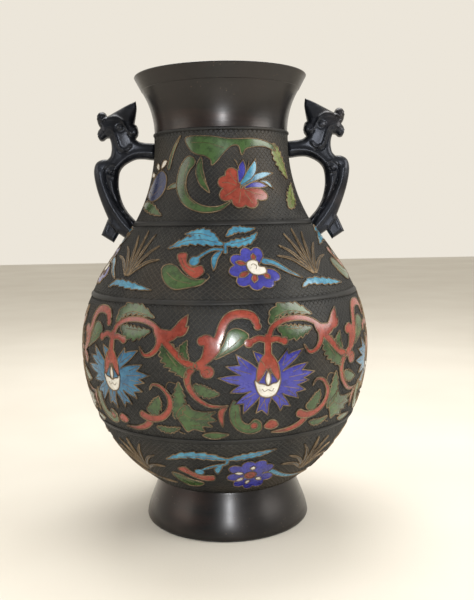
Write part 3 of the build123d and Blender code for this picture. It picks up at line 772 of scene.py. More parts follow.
# ---- Cell outlines ----
# The ornament is drawn as leaves, petals, stems, round cells and free patches. Bronze walls stand
# up round every cell, and ground glass is fired into the cells and polished almost flush.

wall_rise = 0.85 * mm
wall_half_width = 0.42 * mm
glass_rise = 0.5 * mm
glass_bed = 0.05 * mm
wall_sink = -0.12 * mm
rim_gap = 0.55 * mm
glass_swell = 0.16 * mm
spacing = 0.8 * mm
filling_step = 1.5 * mm


def swell(style, share, length, width):
    """Half-width of a cell along its middle line as a share of its full half-width."""
    round_end = np.clip(0.5 * width / length, 0.02, 0.5)
    if style == "stem":
        from_end = np.minimum(share, 1 - share) / round_end
        return np.sqrt(np.clip(1 - (1 - np.clip(from_end, 0, 1)) ** 2, 0, 1))
    if style == "taper":
        root = np.sqrt(np.clip(1 - (1 - np.clip(share / round_end, 0, 1)) ** 2, 0, 1))
        return root * (1 - share) ** 0.55
    if style == "petal":
        return (0.34 + 0.66 * np.sin(np.pi * share**1.25)) * (1 - share**7)
    if style == "lobe":
        tip = np.sqrt(np.clip(1 - (np.clip(share - 0.62, 0, 1) / 0.38) ** 2, 0, 1))
        return (0.3 + 0.7 * np.clip(share / 0.62, 0, 1)) * tip
    if style == "feather":
        teeth = np.abs((share * 6.5) % 1 - 0.15)
        return np.sin(np.pi * share**0.8) ** 0.75 * (1.08 - 0.5 * teeth)
    return np.sin(np.pi * share**0.85) ** 0.85


class Flat:
    """A band's face rolled out flat: metres along its middle circle and up its slope."""

    def __init__(self, band):
        low, high, radius_at = bands[band]
        self.band = band
        heights = np.linspace(low, high, 60)
        radii = radius_at(heights)
        self.radius = float(np.mean(radii))
        self.slope = float(np.sum(np.hypot(np.diff(radii), np.diff(heights))))

    def rolled_out(self, points):
        points = np.asarray(points, float)
        return np.column_stack([np.radians(points[:, 0]) * self.radius, points[:, 1] * self.slope])

    def rolled_on(self, flat_spots, lift=0.0):
        degrees = np.degrees(flat_spots[:, 0] / self.radius)
        return on_band(self.band, degrees, flat_spots[:, 1] / self.slope, lift)

    def outline(self, style, width, points):
        """The closed outline of a cell: a width in mm and points in degrees and shares of the height."""
        points = self.rolled_out(points)
        width = width * mm
        if style == "ball":
            turns = np.linspace(0, 2 * np.pi, max(int(np.pi * width / spacing), 8), endpoint=False)
            return points[0] + 0.5 * width * np.column_stack([np.cos(turns), np.sin(turns)])
        if style == "patch":
            loop = smooth_path(points, spacing, closed=True)
            turned_round = np.sum(loop[:, 0] * np.roll(loop[:, 1], -1) - np.roll(loop[:, 0], -1) * loop[:, 1])
            return loop if turned_round > 0 else loop[::-1]
        line = smooth_path(points, spacing * 0.8)
        walked = np.concatenate([[0], np.cumsum(np.linalg.norm(np.diff(line, axis=0), axis=1))])
        share = walked / walked[-1]
        ahead = np.gradient(line, axis=0)
        ahead /= np.linalg.norm(ahead, axis=1)[:, None]
        across = np.column_stack([-ahead[:, 1], ahead[:, 0]])
        half = (0.5 * width * swell(style, share, walked[-1], width))[:, None]
        return np.vstack([line - across * half, (line + across * half)[::-1][1:-1]])


def ridge_along(flat, spots, half_width, rise, closed):
    """Points and faces of a wall with a flattened crown along a line on a flat band."""
    count = len(spots)
    if closed:
        ahead = np.roll(spots, -1, axis=0) - np.roll(spots, 1, axis=0)
    else:
        ahead = np.gradient(spots, axis=0)
    ahead /= np.maximum(np.linalg.norm(ahead, axis=1), 1e-9)[:, None]
    across = np.column_stack([-ahead[:, 1], ahead[:, 0]])
    brow = rise * 0.82
    section = [(-1, wall_sink), (-0.72, brow), (-0.3, rise), (0.3, rise), (0.72, brow), (1, wall_sink)]
    rails = [flat.rolled_on(spots + across * half_width * side, lift) for side, lift in section]
    points = np.stack(rails, axis=1).reshape(-1, 3)
    rail_count = len(section)
    faces = []
    for here in range(count if closed else count - 1):
        there = (here + 1) % count
        for rail in range(rail_count):
            beside = (rail + 1) % rail_count
            first, second = here * rail_count, there * rail_count
            faces.append((first + beside, first + rail, second + rail, second + beside))
    if not closed:
        faces.append(tuple(range(rail_count)))
        faces.append(tuple(range(count * rail_count - 1, (count - 1) * rail_count - 1, -1)))
    return points, faces


def chains(edges):
    """Edges joined end to end into lines, open between forks or closed."""
    neighbours = {}
    for first, second in edges:
        neighbours.setdefault(first, []).append(second)
        neighbours.setdefault(second, []).append(first)
    unused = {tuple(sorted(edge)) for edge in edges}

    def walk(start, following):
        line = [start, following]
        unused.discard(tuple(sorted((start, following))))
        while len(neighbours[line[-1]]) == 2:
            onward = [spot for spot in neighbours[line[-1]] if tuple(sorted((line[-1], spot))) in unused]
            if not onward:
                break
            unused.discard(tuple(sorted((line[-1], onward[0]))))
            line.append(onward[0])
        return line

    found = []
    for spot in sorted(neighbours):
        if len(neighbours[spot]) != 2:
            for following in sorted(neighbours[spot]):
                if tuple(sorted((spot, following))) in unused:
                    found.append(walk(spot, following))
    for spot, following in sorted(unused):
        if (spot, following) in unused:
            found.append(walk(spot, following))
    return found


class Heap:
    """Points, faces and point attributes gathered for one mesh."""

    def __init__(self):
        self.points = []
        self.faces = []
        self.extras = {}
        self.count = 0

    def add(self, points, faces, extras=None):
        self.points.append(points)
        self.faces += [tuple(corner + self.count for corner in face) for face in faces]
        for key, values in (extras or {}).items():
            self.extras.setdefault(key, []).append(values)
        self.count += len(points)

    def mesh(self, name):
        extras = {key: np.concatenate(values) for key, values in self.extras.items()}
        return bare_mesh(name, np.vstack(self.points), self.faces, extras)


def clearance(spots, targets):
    """Distance from each spot to its closest target, a few hundred spots at a time."""
    gap = np.empty(len(spots))
    for start in range(0, len(spots), 400):
        part = spots[start : start + 400]
        gap[start : start + 400] = np.min(np.linalg.norm(part[:, None] - targets[None], axis=2), axis=1)
    return gap


def fill_of_glass(flat, spots, lift, faces):
    """Points and faces of a closed fill: a face at lift, a bed on the casting and sides between."""
    count = len(spots)
    points = np.vstack([flat.rolled_on(spots, lift), flat.rolled_on(spots, glass_bed)])
    edges = {(first, second) for face in faces for first, second in zip(face, face[1:] + face[:1])}
    sides = [(b, a, a + count, b + count) for a, b in sorted(edges) if (b, a) not in edges]
    bed = [tuple(corner + count for corner in reversed(face)) for face in faces]
    return points, faces + bed + sides


def filling_spots(loops, rim):
    """A triangular grid of spots within the loops and clear of their rims."""
    low, high = rim.min(axis=0), rim.max(axis=0)
    columns = np.arange(low[0], high[0], filling_step)
    rows = np.arange(low[1], high[1], filling_step * math.sqrt(3) / 2)
    spots = np.array([(a + filling_step / 2 * (row % 2), b) for row, b in enumerate(rows) for a in columns])
    within = np.zeros(len(spots), bool)
    for loop in loops:
        within |= inside(spots, loop)
    spots = spots[within]
    return spots[clearance(spots, rim) > rim_gap]


def borders(faces, labels):
    """The edges where a cell meets the ground or another cell."""
    edge_labels = {}
    for face, label in zip(faces, labels):
        for first, second in zip(face, face[1:] + face[:1]):
            edge_labels.setdefault((min(first, second), max(first, second)), []).append(label)
    border = []
    for edge, sides in edge_labels.items():
        kept = [side for side in sides if side >= 0]
        if kept and (len(sides) == 1 or sides[0] != sides[1]):
            border.append(edge)
    return border


def cell_walls(flat, made, border, veins):
    """Walls along the borders of the cells, and thinner ones along the veins."""
    walls = Heap()
    for line in chains(border):
        closed = line[0] == line[-1] and len(line) > 3
        path = made[line[:-1] if closed else line]
        if closed or np.linalg.norm(path[0] - path[-1]) > 0.3 * mm or len(path) > 3:
            walls.add(*ridge_along(flat, path, wall_half_width, wall_rise, closed))
    for vein in veins:
        path = smooth_path(flat.rolled_out(vein), spacing)
        walls.add(*ridge_along(flat, path, wall_half_width * 0.75, wall_rise * 0.88, False))
    return walls


def glass_of(flat, made, chosen, edge_points, axes):
    """The glass over the chosen faces, each given with its cell's number. Axes run from root to tip."""
    used = sorted({corner for face, _ in chosen for corner in face})
    renumbered = {old: new for new, old in enumerate(used)}
    cell_at = {corner: number for face, number in chosen for corner in face}
    here = made[used]
    wall_distance = clearance(here, edge_points)
    lift = glass_rise + glass_swell * (1 - np.exp(-wall_distance / (1.1 * mm)))
    along = np.zeros(len(used))
    for place, corner in enumerate(used):
        root, tip = axes[cell_at[corner]]
        reach = tip - root
        along[place] = np.clip((made[corner] - root) @ reach / max(reach @ reach, 1e-9), 0, 1)
    faces = [tuple(renumbered[corner] for corner in face) for face, _ in chosen]
    points, closed_faces = fill_of_glass(flat, here, lift, faces)
    solid = Heap()
    solid.add(points, closed_faces, {"wall_distance": np.tile(wall_distance / mm, 2), "along": np.tile(along, 2)})
    return solid


def ornament(band, cells, veins):
    """The glass of each colour and the walls of one repeat of a band's ornament.

    A cell is a colour and the shapes that make it up, and it lies over the cells after it. A vein is
    a thin wall on its own, given as its points.
    """
    flat = Flat(band)
    owner_of, loops, axes = [], [], []
    for number, (colour, shapes) in enumerate(cells):
        ends = flat.rolled_out(shapes[0][2])
        axes.append((ends[0], ends[-1]))
        for style, width, points in shapes:
            loops.append(flat.outline(style, width, points))
            owner_of.append(number)
    rim = np.vstack(loops)
    spots = filling_spots(loops, rim)
    starts = np.concatenate([[0], np.cumsum([len(loop) for loop in loops])])
    input_faces = [list(range(int(a), int(b))) for a, b in zip(starts[:-1], starts[1:])]
    made, _, faces, _, _, owners = delaunay_2d_cdt(
        [Vector(spot / mm) for spot in np.vstack([rim, spots])], [], input_faces, 1, 1e-4, True
    )
    made = np.array([tuple(spot) for spot in made]) * mm
    labels = [min((owner_of[loop] for loop in owner), default=-1) for owner in owners]
    border = borders(faces, labels)
    edge_points = made[sorted({corner for edge in border for corner in edge})]
    glass = {}
    for colour in dict.fromkeys(colour for colour, _ in cells):
        numbers = {number for number, (name, _) in enumerate(cells) if name == colour}
        chosen = [(face, label) for face, label in zip(faces, labels) if label in numbers]
        if chosen:
            glass[colour] = glass_of(flat, made, chosen, edge_points, axes)
    return glass, cell_walls(flat, made, border, veins)


def cell(colour, style, width, *points):
    """A cell of one shape: a width in mm and points in degrees and shares of the height."""
    return (colour, [(style, width, list(points))])


def around(root, style, width, tips):
    """Shapes of one kind that run straight from one root, one to each tip."""
    return [(style, width, [root, tip]) for tip in tips]


# ---- Enamel finishes ----
# Each colour is opaque glass paste fired in its cells, ground level and polished. It has painted shade
# against the walls, is streaked along each petal, and has small pits and cloudy patches.


def glass_finish(name, deep_and_shade, body_colour, bright):
    """Glossy opaque enamel with painted shade by the walls, and streaked brighter towards the tips."""
    finish = Finish(name)
    wall_distance = finish.attribute("wall_distance")
    along = finish.attribute("along")
    cloud = finish.noise(210, 4)
    streak = finish.noise(420, 3, 0.7, offset=(1, 4, 2))
    patch = finish.noise(45, 3, offset=(2, 2, 9))
    pits = finish.spread(finish.specks(620), 0.2, 0.07) * finish.spread(finish.noise(150), 0.52, 0.62)
    tone = finish.blend(finish.spread(cloud + along * 0.18, 0.36, 0.78), body_colour, bright)
    tone = finish.blend(finish.spread(streak, 0.5, 0.72) * 0.55, tone, deep_and_shade)
    tone = finish.blend(finish.spread(patch, 0.52, 0.75) * 0.35, tone, deep_and_shade)
    # Painted shade: within 0.9 mm of the walls the glass is darkened towards its deep tone.
    tone = finish.blend((1 - finish.spread(wall_distance, 0.0, 0.9)) * 0.7, tone, deep_and_shade)
    finish.feed("Base Color", finish.blend(pits * 0.8, tone, rgb(0.03, 0.025, 0.02)))
    finish.feed("Roughness", finish.spread(cloud, 0.2, 0.8) * 0.16 + 0.2)
    finish.feed("Coat Weight", 0.35)
    finish.feed("Coat Roughness", 0.18)
    finish.bump(cloud * 0.5 + streak * 0.4 - pits, 0.3, 0.00035)
    return finish


# For each colour of cell, the name of its glass and its deep, middle and bright tones.
# The deep tone is also the painted shade by the walls.
glass_tones = {
    "red": ("vermilion_glass", (0.065, 0.009, 0.006), (0.18, 0.023, 0.011), (0.3, 0.045, 0.022)),
    "cobalt": ("cobalt_glass", (0.008, 0.008, 0.06), (0.02, 0.019, 0.2), (0.04, 0.042, 0.34)),
    "teal": ("teal_glass", (0.004, 0.025, 0.05), (0.008, 0.08, 0.17), (0.02, 0.17, 0.3)),
    "turquoise": ("turquoise_glass", (0.008, 0.05, 0.085), (0.022, 0.145, 0.26), (0.07, 0.29, 0.41)),
    "green": ("leaf_green_glass", (0.006, 0.012, 0.005), (0.016, 0.033, 0.009), (0.04, 0.092, 0.018)),
    "lime": ("yellow_green_glass", (0.03, 0.04, 0.012), (0.085, 0.12, 0.028), (0.19, 0.23, 0.06)),
    "white": ("cream_glass", (0.3, 0.26, 0.2), (0.6, 0.565, 0.49), (0.7, 0.67, 0.6)),
    "navy": ("navy_glass", (0.006, 0.008, 0.018), (0.012, 0.016, 0.046), (0.03, 0.038, 0.1)),
    "olive": ("olive_glass", (0.014, 0.01, 0.006), (0.038, 0.027, 0.015), (0.08, 0.056, 0.03)),
}
glass_colours = {}
for colour, (name, *tones) in glass_tones.items():
    glass_colours[colour] = glass_finish(name, *(rgb(*tone) for tone in tones))

rubbed = Finish("rubbed_walls")
wear = rubbed.noise(75, 5)
fleck = rubbed.noise(520, 3)
wall_tone = rubbed.blend(rubbed.spread(wear, 0.34, 0.62), rgb(0.045, 0.032, 0.02), rgb(0.2, 0.14, 0.08))
wall_tone = rubbed.blend(rubbed.spread(fleck, 0.5, 0.75) * 0.5, wall_tone, rgb(0.32, 0.24, 0.14))
rubbed.feed("Base Color", wall_tone)
rubbed.feed("Metallic", 0.6)
rubbed.feed("Roughness", rubbed.spread(fleck, 0.2, 0.8) * 0.2 + 0.34)
rubbed.bump(fleck, 0.3, 0.0002)


def fired(band, groups):
    """Turns each group's ornament round the vase: its walls are a piece, and so is each colour of glass."""
    colours = {}
    for number, (cells, veins, copies, first_turn) in enumerate(groups, 1):
        glass, wall = ornament(band, cells, veins)
        start = math.radians(first_turn)
        walls = ring_of_copies(f"{band}_cell_walls_{number}", wall.mesh("walls"), copies, start, rubbed)
        placed(walls, rubbed, "band_bronze")
        for colour, heap in glass.items():
            name = f"{band}_{colour}_{number}"
            ring = ring_of_copies(name, heap.mesh("glass"), copies, start, glass_colours[colour])
            colours.setdefault(colour, []).append(ring)
    for colour, rings in colours.items():
        glass_piece = joined(f"{band}_{colour}_glass", rings)
        glass_piece.data.set_sharp_from_angle(angle=math.radians(40))
        placed(glass_piece, glass_colours[colour], f"enamel_{colour}", f"{band}_enamel_{colour}")


# ---- Neck band ----
# Twice round the neck: a scalloped red flower with blue petals, a garland of green leaves with a
# long hooked stem, yellow-green leaves and a dark bud. Flat cells of glass, as in the other bands.

neck_cells = [
    cell("turquoise", "petal", 5.6, (13.2, 0.385), (20, 0.48), (25, 0.58), (27.3, 0.68)),
    cell("turquoise", "petal", 4.2, (14.2, 0.37), (23, 0.45), (33, 0.5), (43, 0.52)),
    cell("turquoise", "petal", 2.4, (29, 0.43), (35, 0.41), (40, 0.34)),
    cell("cobalt", "petal", 5.4, (12.8, 0.4), (14.5, 0.5), (16.8, 0.67)),
    cell("cobalt", "petal", 4.0, (16, 0.35), (24, 0.385), (35, 0.37)),
    ("red", [
        ("lobe", 9, [(13.5, 0.37), (9, 0.46), (5, 0.57)]),
        ("lobe", 9, [(13.5, 0.37), (5, 0.41), (-3, 0.42)]),
        ("lobe", 9, [(13.5, 0.36), (6, 0.31), (-1, 0.23)]),
        ("lobe", 9, [(13.5, 0.35), (12, 0.24), (10, 0.13)]),
        ("lobe", 9, [(14, 0.35), (18, 0.24), (21.5, 0.13)]),
        ("lobe", 8, [(14.5, 0.36), (22, 0.3), (33, 0.25)]),
    ]),
    cell(
        "green", "patch", 1,
        (-29, 0.93), (-10, 0.935), (4, 0.905), (14, 0.9), (27, 0.905), (38, 0.88), (47, 0.84), (50, 0.78),
        (45, 0.79), (36, 0.82), (28, 0.815), (20, 0.79), (16, 0.72), (13.5, 0.82), (8, 0.82), (2, 0.745),
        (-3, 0.66), (-7.5, 0.61), (-8.5, 0.67), (-13, 0.715), (-20, 0.74), (-26, 0.8),
    ),
    cell("green", "leaf", 5.2, (-16, 0.71), (-17, 0.56), (-14, 0.42), (-8.5, 0.3)),
    cell(
        "green", "taper", 8.6,
        (-22, 0.7), (-29.5, 0.58), (-31, 0.4), (-25, 0.23), (-14, 0.13), (-3, 0.125), (5.5, 0.2),
    ),
    cell("lime", "feather", 11, (46, 0.86), (52, 0.7), (61, 0.46)),
    cell("lime", "feather", 10, (50, 0.12), (58, 0.24), (66, 0.42)),
    cell(
        "navy", "patch", 1,
        (-73, 0.32), (-66, 0.25), (-58, 0.225), (-50, 0.27), (-46, 0.38), (-47.5, 0.51), (-54, 0.575),
        (-62, 0.54), (-69, 0.44),
    ),
    cell("white", "petal", 4.4, (-56, 0.6), (-52, 0.66), (-48, 0.68)),
    cell("white", "petal", 4.4, (-59, 0.585), (-62, 0.63), (-66, 0.64)),
    cell("white", "petal", 3.6, (-65, 0.52), (-71, 0.54), (-76, 0.53)),
    cell("green", "feather", 7, (-75, 0.2), (-60, 0.16), (-42, 0.06)),
    cell("green", "taper", 4, (-34.5, 0.4), (-39, 0.39), (-44, 0.36)),
    cell("green", "taper", 3, (-46, 0.58), (-44, 0.72), (-40, 0.84), (-34, 0.96)),
]
neck_veins = [
    [(10, 0.67), (12, 0.62), (13.6, 0.54)],
    [(21.5, 0.66), (20.5, 0.59), (18.5, 0.52)],
    [(10.5, 0.41), (7.5, 0.48), (6, 0.53)],
    [(10, 0.38), (4.5, 0.41), (0, 0.415)],
    [(10, 0.34), (6, 0.3), (2, 0.26)],
    [(12.8, 0.31), (12, 0.24), (10.8, 0.18)],
    [(15.5, 0.31), (18, 0.24), (20.4, 0.18)],
    [(17, 0.33), (23, 0.29), (29, 0.265)],
    [(-24, 0.87), (-12, 0.86), (-2, 0.82), (2, 0.8)],
    [(-16.5, 0.66), (-16, 0.55), (-13, 0.44), (-10, 0.36)],
    [(-26, 0.66), (-29, 0.5), (-26, 0.3), (-18, 0.18)],
    [(47, 0.82), (52, 0.7), (58, 0.54)],
    [(52, 0.15), (58, 0.24), (64, 0.38)],
    [(-70, 0.35), (-60, 0.3), (-51, 0.4)],
]
fired("neck", [(neck_cells, neck_veins, 2, 0)])

# ---- Shoulder band ----
# Four times round the shoulder: a blue blossom with a white heart, turquoise feathered leaves, a
# half-open red bud in a green calyx, a winding stem and a tuft of spiky brown grass.


def fanned(colour, style, width, root, tips, lift):
    """Narrow cells that spread and curve from one root, one for each tip."""
    cells = []
    for degrees, share in tips:
        middle_point = (root[0] * 0.45 + degrees * 0.55, root[1] * 0.4 + share * 0.6 + lift)
        cells.append(cell(colour, style, width, root, middle_point, (degrees, share)))
    return cells


grass_tips = [(42.5, 0.93), (35, 0.86), (50, 0.88), (29, 0.7), (56, 0.72), (26, 0.56), (59, 0.53)]
shoulder_cells = [
    cell(
        "white", "patch", 1,
        (10.3, 0.4), (10.4, 0.48), (13, 0.515), (15.6, 0.49), (15.8, 0.43), (18.3, 0.41), (18.4, 0.34),
        (15, 0.31), (12, 0.33),
    ),
    cell("red", "petal", 3.2, (13.8, 0.5), (14, 0.6)),
    cell("red", "petal", 3.2, (10.3, 0.46), (5.4, 0.49)),
    cell("red", "petal", 3.4, (10.8, 0.36), (6.2, 0.29)),
    cell("red", "petal", 3.4, (13.2, 0.33), (12.3, 0.21)),
    cell("red", "petal", 3.2, (17, 0.33), (19.4, 0.26)),
    ("cobalt", around((13.5, 0.4), "lobe", 8.5, [
        (9.8, 0.68), (16.8, 0.68), (3.4, 0.56), (2.2, 0.36), (6, 0.18), (13, 0.11), (19.5, 0.14),
        (23.8, 0.25),
    ])),
    ("turquoise", [
        ("feather", 8, [(0.5, 0.73), (-9, 0.79), (-18, 0.79), (-28.5, 0.68)]),
        ("feather", 6.5, [(-2, 0.79), (-10, 0.9), (-21, 0.88)]),
    ]),
    ("turquoise", [
        ("feather", 6.5, [(0.5, 0.73), (8, 0.75), (14, 0.79), (19, 0.89)]),
        ("feather", 5.5, [(1.5, 0.84), (6.5, 0.93), (13, 0.93), (18.5, 0.95)]),
        ("stem", 2.2, [(0.6, 0.76), (1.2, 0.68), (1, 0.6)]),
        ("stem", 2.2, [(0.5, 0.66), (-5, 0.665), (-10, 0.59), (-12.5, 0.53)]),
        ("ball", 6.6, [(-13.2, 0.51)]),
        ("leaf", 3.8, [(-0.5, 0.65), (-3.8, 0.55), (-4.2, 0.38)]),
    ]),
    cell(
        "red", "patch", 1,
        (-22, 0.6), (-17.5, 0.62), (-16.5, 0.5), (-13.5, 0.43), (-9.6, 0.45), (-8.2, 0.36), (-11.5, 0.28),
        (-15.5, 0.34), (-19.5, 0.46),
    ),
    cell(
        "green", "patch", 1,
        (-28, 0.41), (-25, 0.47), (-21, 0.44), (-17, 0.34), (-12.5, 0.27), (-7.5, 0.27), (-9, 0.2),
        (-14, 0.16), (-20, 0.14), (-25, 0.24),
    ),
    cell("turquoise", "taper", 4.6, (17, 0.5), (23, 0.46), (29, 0.34), (35, 0.24)),
    cell("turquoise", "feather", 5.6, (33, 0.12), (38, 0.19), (47, 0.17), (60, 0.12)),
] + fanned("olive", "taper", 2.6, (43, 0.3), grass_tips, 0.04)
shoulder_veins = [
    [(-7, 0.35), (-5.9, 0.3), (-8, 0.22)],
    [(-3, 0.76), (-11, 0.8), (-20, 0.78), (-25, 0.72)],
    [(-6, 0.84), (-12, 0.885), (-18, 0.88)],
    [(4, 0.74), (10, 0.765), (15, 0.81)],
    [(12.2, 0.44), (13.2, 0.46), (14.6, 0.43), (14, 0.39)],
    [(19, 0.48), (25, 0.41), (31, 0.3)],
    [(-25, 0.36), (-20, 0.26), (-13, 0.21)],
    [(-19.5, 0.55), (-17, 0.44), (-12, 0.36)],
]
fired("shoulder", [(shoulder_cells, shoulder_veins, 4, 0)])

# ---- Belly band ----
# Six lotus flowers round the belly, cobalt and teal by turns, each with a white pod, a red calyx
# and red scrolling stems with green leaves. Petal tips are cut in points like flames.

pod = [
    cell("white", "leaf", 3.2, (14.7, 0.42), (14.7, 0.47), (14.7, 0.53)),
    cell(
        "white", "patch", 1,
        (10, 0.465), (11.6, 0.44), (13, 0.435), (14.7, 0.42), (16.4, 0.435), (17.8, 0.44), (19.2, 0.47),
        (18.7, 0.4), (17.4, 0.35), (14.7, 0.33), (12, 0.35), (10.6, 0.4),
    ),
]
calyx = [
    ("red", [
        ("stem", 4.2, [(15.2, 0.8), (14.9, 0.72), (14.7, 0.62)]),
        ("leaf", 5.4, [(14.7, 0.67), (12.7, 0.56), (10.6, 0.44)]),
        ("leaf", 5.4, [(14.8, 0.67), (16.8, 0.56), (18.9, 0.44)]),
        ("leaf", 4.0, [(14.7, 0.66), (14.7, 0.59), (14.7, 0.52)]),
        ("stem", 3.6, [(15, 0.745), (11.8, 0.765), (8.6, 0.74)]),
        ("ball", 5.2, [(8.2, 0.735)]),
        ("stem", 3.6, [(15, 0.745), (18, 0.755), (20.6, 0.735)]),
        ("ball", 4.6, [(21, 0.735)]),
        ("stem", 3.2, [
            (15.6, 0.77), (16.4, 0.82), (18.3, 0.855), (22, 0.885), (28, 0.892), (33, 0.865), (37, 0.815),
        ]),
        ("leaf", 7.5, [(34, 0.84), (37.5, 0.79), (41, 0.79), (45, 0.83)]),
        ("petal", 5.5, [(40, 0.8), (44, 0.85), (47, 0.94)]),
        ("petal", 4.5, [(41, 0.8), (44.5, 0.81), (47.5, 0.86)]),
        ("taper", 4.4, [(36.5, 0.81), (36.4, 0.72), (34, 0.655), (30.8, 0.64), (28.6, 0.7)]),
        ("stem", 4.2, [(36.5, 0.79), (41, 0.7), (45, 0.62), (48, 0.585), (50.5, 0.57)]),
    ]),
]
vine = [
    ("red", [
        ("stem", 5.0, [
            (-10.5, 0.56), (-7, 0.615), (-4.2, 0.69), (-2, 0.78), (-0.4, 0.87), (2, 0.925), (6, 0.94),
            (10, 0.92), (11.6, 0.86),
        ]),
        ("lobe", 9.5, [(-8.5, 0.58), (-5.5, 0.66), (-3, 0.78)]),
        ("ball", 4.6, [(11.6, 0.85)]),
        ("stem", 4.2, [(-3.5, 0.745), (-6, 0.775), (-8, 0.765)]),
        ("ball", 5.6, [(-7.8, 0.755)]),
        ("stem", 4.4, [(-9.5, 0.59), (-7.5, 0.56), (-6.6, 0.54)]),
        ("ball", 8.0, [(-6.2, 0.535)]),
    ]),
    cell(
        "red", "taper", 4.2,
        (-10.8, 0.57), (-13, 0.5), (-12.4, 0.41), (-9.8, 0.335), (-6, 0.285), (-1.5, 0.275), (1, 0.285),
    ),
    cell("red", "leaf", 3.6, (0.6, 0.285), (-1.8, 0.22), (-1.2, 0.11)),
    cell(
        "red", "taper", 5.0,
        (26.5, 0.19), (31, 0.155), (36, 0.172), (39.4, 0.24), (40, 0.33), (37.3, 0.41), (34, 0.425),
        (32.4, 0.38),
    ),
    cell("red", "taper", 4.4, (31.5, 0.15), (28.5, 0.09), (23.5, 0.055), (17, 0.05)),
    cell("red", "patch", 1, (14, 0.1), (17, 0.075), (19.5, 0.1), (18.4, 0.14), (16, 0.15)),
    cell(
        "green", "patch", 1,
        (-3.4, 0.63), (0.4, 0.66), (4.4, 0.7), (7.6, 0.755), (8, 0.8), (4.5, 0.84), (1.4, 0.82),
        (-0.6, 0.73),
    ),
    cell("green", "feather", 8.4, (15.9, 0.86), (19.4, 0.945), (26, 0.965), (34, 0.91)),
    cell("green", "feather", 9.5, (18.8, 0.83), (25, 0.79), (33, 0.815)),
    cell("green", "feather", 14, (37.6, 0.73), (41.6, 0.63), (46.6, 0.49)),
    cell(
        "green", "patch", 1,
        (-13.4, 0.29), (-11.6, 0.25), (-8, 0.235), (-3.6, 0.235), (-5.4, 0.2), (-3.4, 0.165),
        (-6.6, 0.15), (-5, 0.115), (-8.6, 0.115), (-8, 0.075), (-12, 0.09), (-14.6, 0.07), (-16.4, 0.13),
        (-18, 0.2), (-16, 0.26),
    ),
    cell("red", "ball", 4.4, (10.2, 0.115)),
    cell(
        "green", "patch", 1,
        (2.6, 0.32), (1.2, 0.24), (1.8, 0.15), (4.6, 0.08), (9, 0.05), (12.6, 0.07), (13, 0.12),
        (11.8, 0.155), (10, 0.165), (8.2, 0.13), (6, 0.15), (5, 0.21), (4.6, 0.28),
    ),
    cell("green", "feather", 9, (30.2, 0.225), (33.6, 0.24), (36, 0.34)),
    cell("green", "feather", 9, (41.4, 0.17), (43.4, 0.3), (43.8, 0.46)),
    cell("green", "feather", 6, (-12.5, 0.62), (-14.6, 0.68), (-13, 0.76)),
    cell("green", "feather", 8, (-11, 0.44), (-7, 0.385), (-2, 0.37)),
    cell("green", "leaf", 4.5, (-9, 0.045), (-4, 0.04), (1, 0.05)),
    cell("green", "feather", 5, (33, 0.09), (38, 0.07), (43, 0.1)),
]
lotus_centre = (14.7, 0.45)
petal_tips = [
    (-2.6, 0.49), (0, 0.575), (3.6, 0.66), (9.5, 0.68), (1.4, 0.38), (3, 0.29), (6, 0.215), (10.6, 0.215),
    (15, 0.19), (19.8, 0.215), (23.6, 0.245), (26.6, 0.3), (29.4, 0.36), (30.6, 0.43), (33, 0.49),
    (30, 0.565), (28.2, 0.67), (22, 0.68),
]
petal_width = 6.2
petal_bend = 1.5


def on_petal(number, tip, across_share, up_share, bend_share):
    """A point between the lotus's centre and a petal's tip. Petals bend left and right by turns."""
    bend = petal_bend if number % 2 else -petal_bend
    degrees = lotus_centre[0] + across_share * (tip[0] - lotus_centre[0]) + bend * bend_share
    return (degrees, lotus_centre[1] + up_share * (tip[1] - lotus_centre[1]))


def lotus_petals(colour):
    """Pointed petals that spread from the pod, each a little bent."""
    shapes = []
    for number, tip in enumerate(petal_tips):
        shapes.append(("petal", petal_width, [lotus_centre, on_petal(number, tip, 0.55, 0.58, 1), tip]))
    return (colour, shapes)


belly_veins = [
    [(12.6, 0.4), (13.4, 0.378), (14.6, 0.392)],
    [(16.8, 0.4), (16, 0.378), (14.8, 0.392)],
    [(3.4, 0.24), (3.4, 0.15), (6.2, 0.095), (9.6, 0.08)],
    [(-7.2, 0.545), (-6, 0.555), (-5.2, 0.535), (-6, 0.52)],
    [(-2, 0.65), (2, 0.71), (6, 0.78)],
    [(1, 0.7), (1.6, 0.77)],
    [(18.5, 0.91), (24, 0.945), (31, 0.925)],
    [(22, 0.82), (29, 0.815)],
    [(39.5, 0.67), (43.5, 0.57)],
    [(-5, 0.235), (-11, 0.165)],
    [(-13.5, 0.43), (-11.9, 0.46)],
    [(-15.6, 0.22), (-12, 0.18), (-6, 0.18)],
    [(-13, 0.12), (-9.4, 0.13)],
    [(-17.6, 0.34), (-21, 0.38), (-20, 0.45), (-16.6, 0.44)],
    [(-19, 0.1), (-17.4, 0.06), (-15.6, 0.05)],
]
for number, tip in enumerate(petal_tips):
    belly_veins.append([on_petal(number, tip, 0.5, 0.5, 1), on_petal(number, tip, 0.84, 0.84, 0.4)])
fired(
    "belly",
    [
        (pod + calyx + [lotus_petals("cobalt")] + vine, belly_veins, 3, 0),
        (pod + calyx + [lotus_petals("teal")] + vine, belly_veins, 3, 60),
    ],
)

# ---- Lower band ----
# Four times round under the belly: the shoulder's blossom and spray again, here with a red heart
# set about with white seeds.

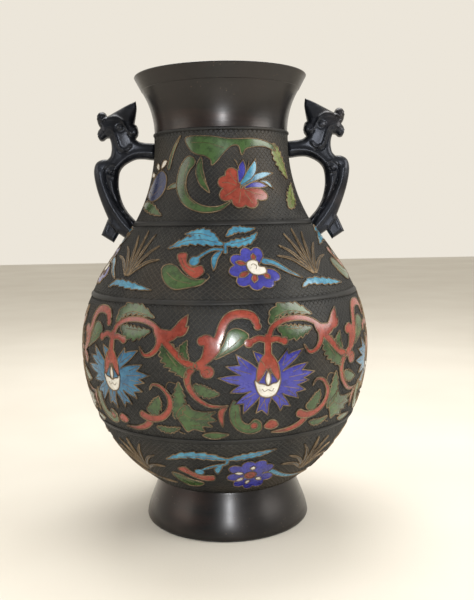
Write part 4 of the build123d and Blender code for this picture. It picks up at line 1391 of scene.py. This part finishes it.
lower_cells = [
    cell("red", "ball", 8.0, (11.6, 0.42)),
    cell("white", "leaf", 3.4, (12, 0.52), (12.2, 0.6)),
    cell("white", "leaf", 3.2, (8, 0.46), (3.3, 0.48)),
    cell("white", "leaf", 3.2, (8.3, 0.37), (4.6, 0.31)),
    cell("white", "leaf", 3.2, (11.4, 0.32), (10.4, 0.23)),
    cell("white", "leaf", 3.4, (14.9, 0.36), (18.6, 0.29)),
    ("cobalt", around((12, 0.42), "lobe", 9, [
        (9, 0.69), (16.5, 0.69), (22, 0.58), (1.2, 0.6), (-0.2, 0.38), (4.5, 0.18), (12.5, 0.1),
        (20, 0.14), (24.5, 0.32),
    ])),
    ("turquoise", [
        ("feather", 7, [(0, 0.74), (-9, 0.8), (-18, 0.8), (-28, 0.69)]),
        ("feather", 6, [(0, 0.74), (7, 0.78), (14, 0.82), (21, 0.87)]),
        ("stem", 2, [(0, 0.77), (0.2, 0.7), (-0.6, 0.65)]),
        ("stem", 2.2, [(-0.4, 0.66), (-6, 0.62), (-12, 0.54)]),
        ("ball", 6.4, [(-13.2, 0.5)]),
        ("leaf", 4, [(-2.2, 0.63), (-4.2, 0.56), (-4.6, 0.46)]),
    ]),
    cell(
        "red", "patch", 1,
        (-24, 0.52), (-20, 0.58), (-17, 0.5), (-12.5, 0.43), (-6.6, 0.43), (-7, 0.33), (-13, 0.33),
        (-19, 0.42),
    ),
    cell(
        "green", "patch", 1,
        (-29, 0.42), (-25, 0.42), (-20, 0.33), (-13, 0.26), (-17, 0.18), (-24, 0.18), (-28, 0.3),
    ),
    cell(
        "turquoise", "taper", 4.4,
        (16.5, 0.5), (22, 0.46), (28, 0.36), (36, 0.27), (46, 0.22), (59, 0.19),
    ),
] + fanned("olive", "taper", 2.8, (43, 0.38), grass_tips, 0.04)
lower_veins = [
    [(-4, 0.77), (-12, 0.8), (-21, 0.77)],
    [(4, 0.76), (11, 0.8), (17, 0.84)],
    [(-25, 0.35), (-19, 0.26)],
    [(-20, 0.52), (-15, 0.42), (-10, 0.38)],
    [(10.5, 0.43), (11.6, 0.45), (12.7, 0.42)],
]
fired("lower", [(lower_cells, lower_veins, 4, 0)])
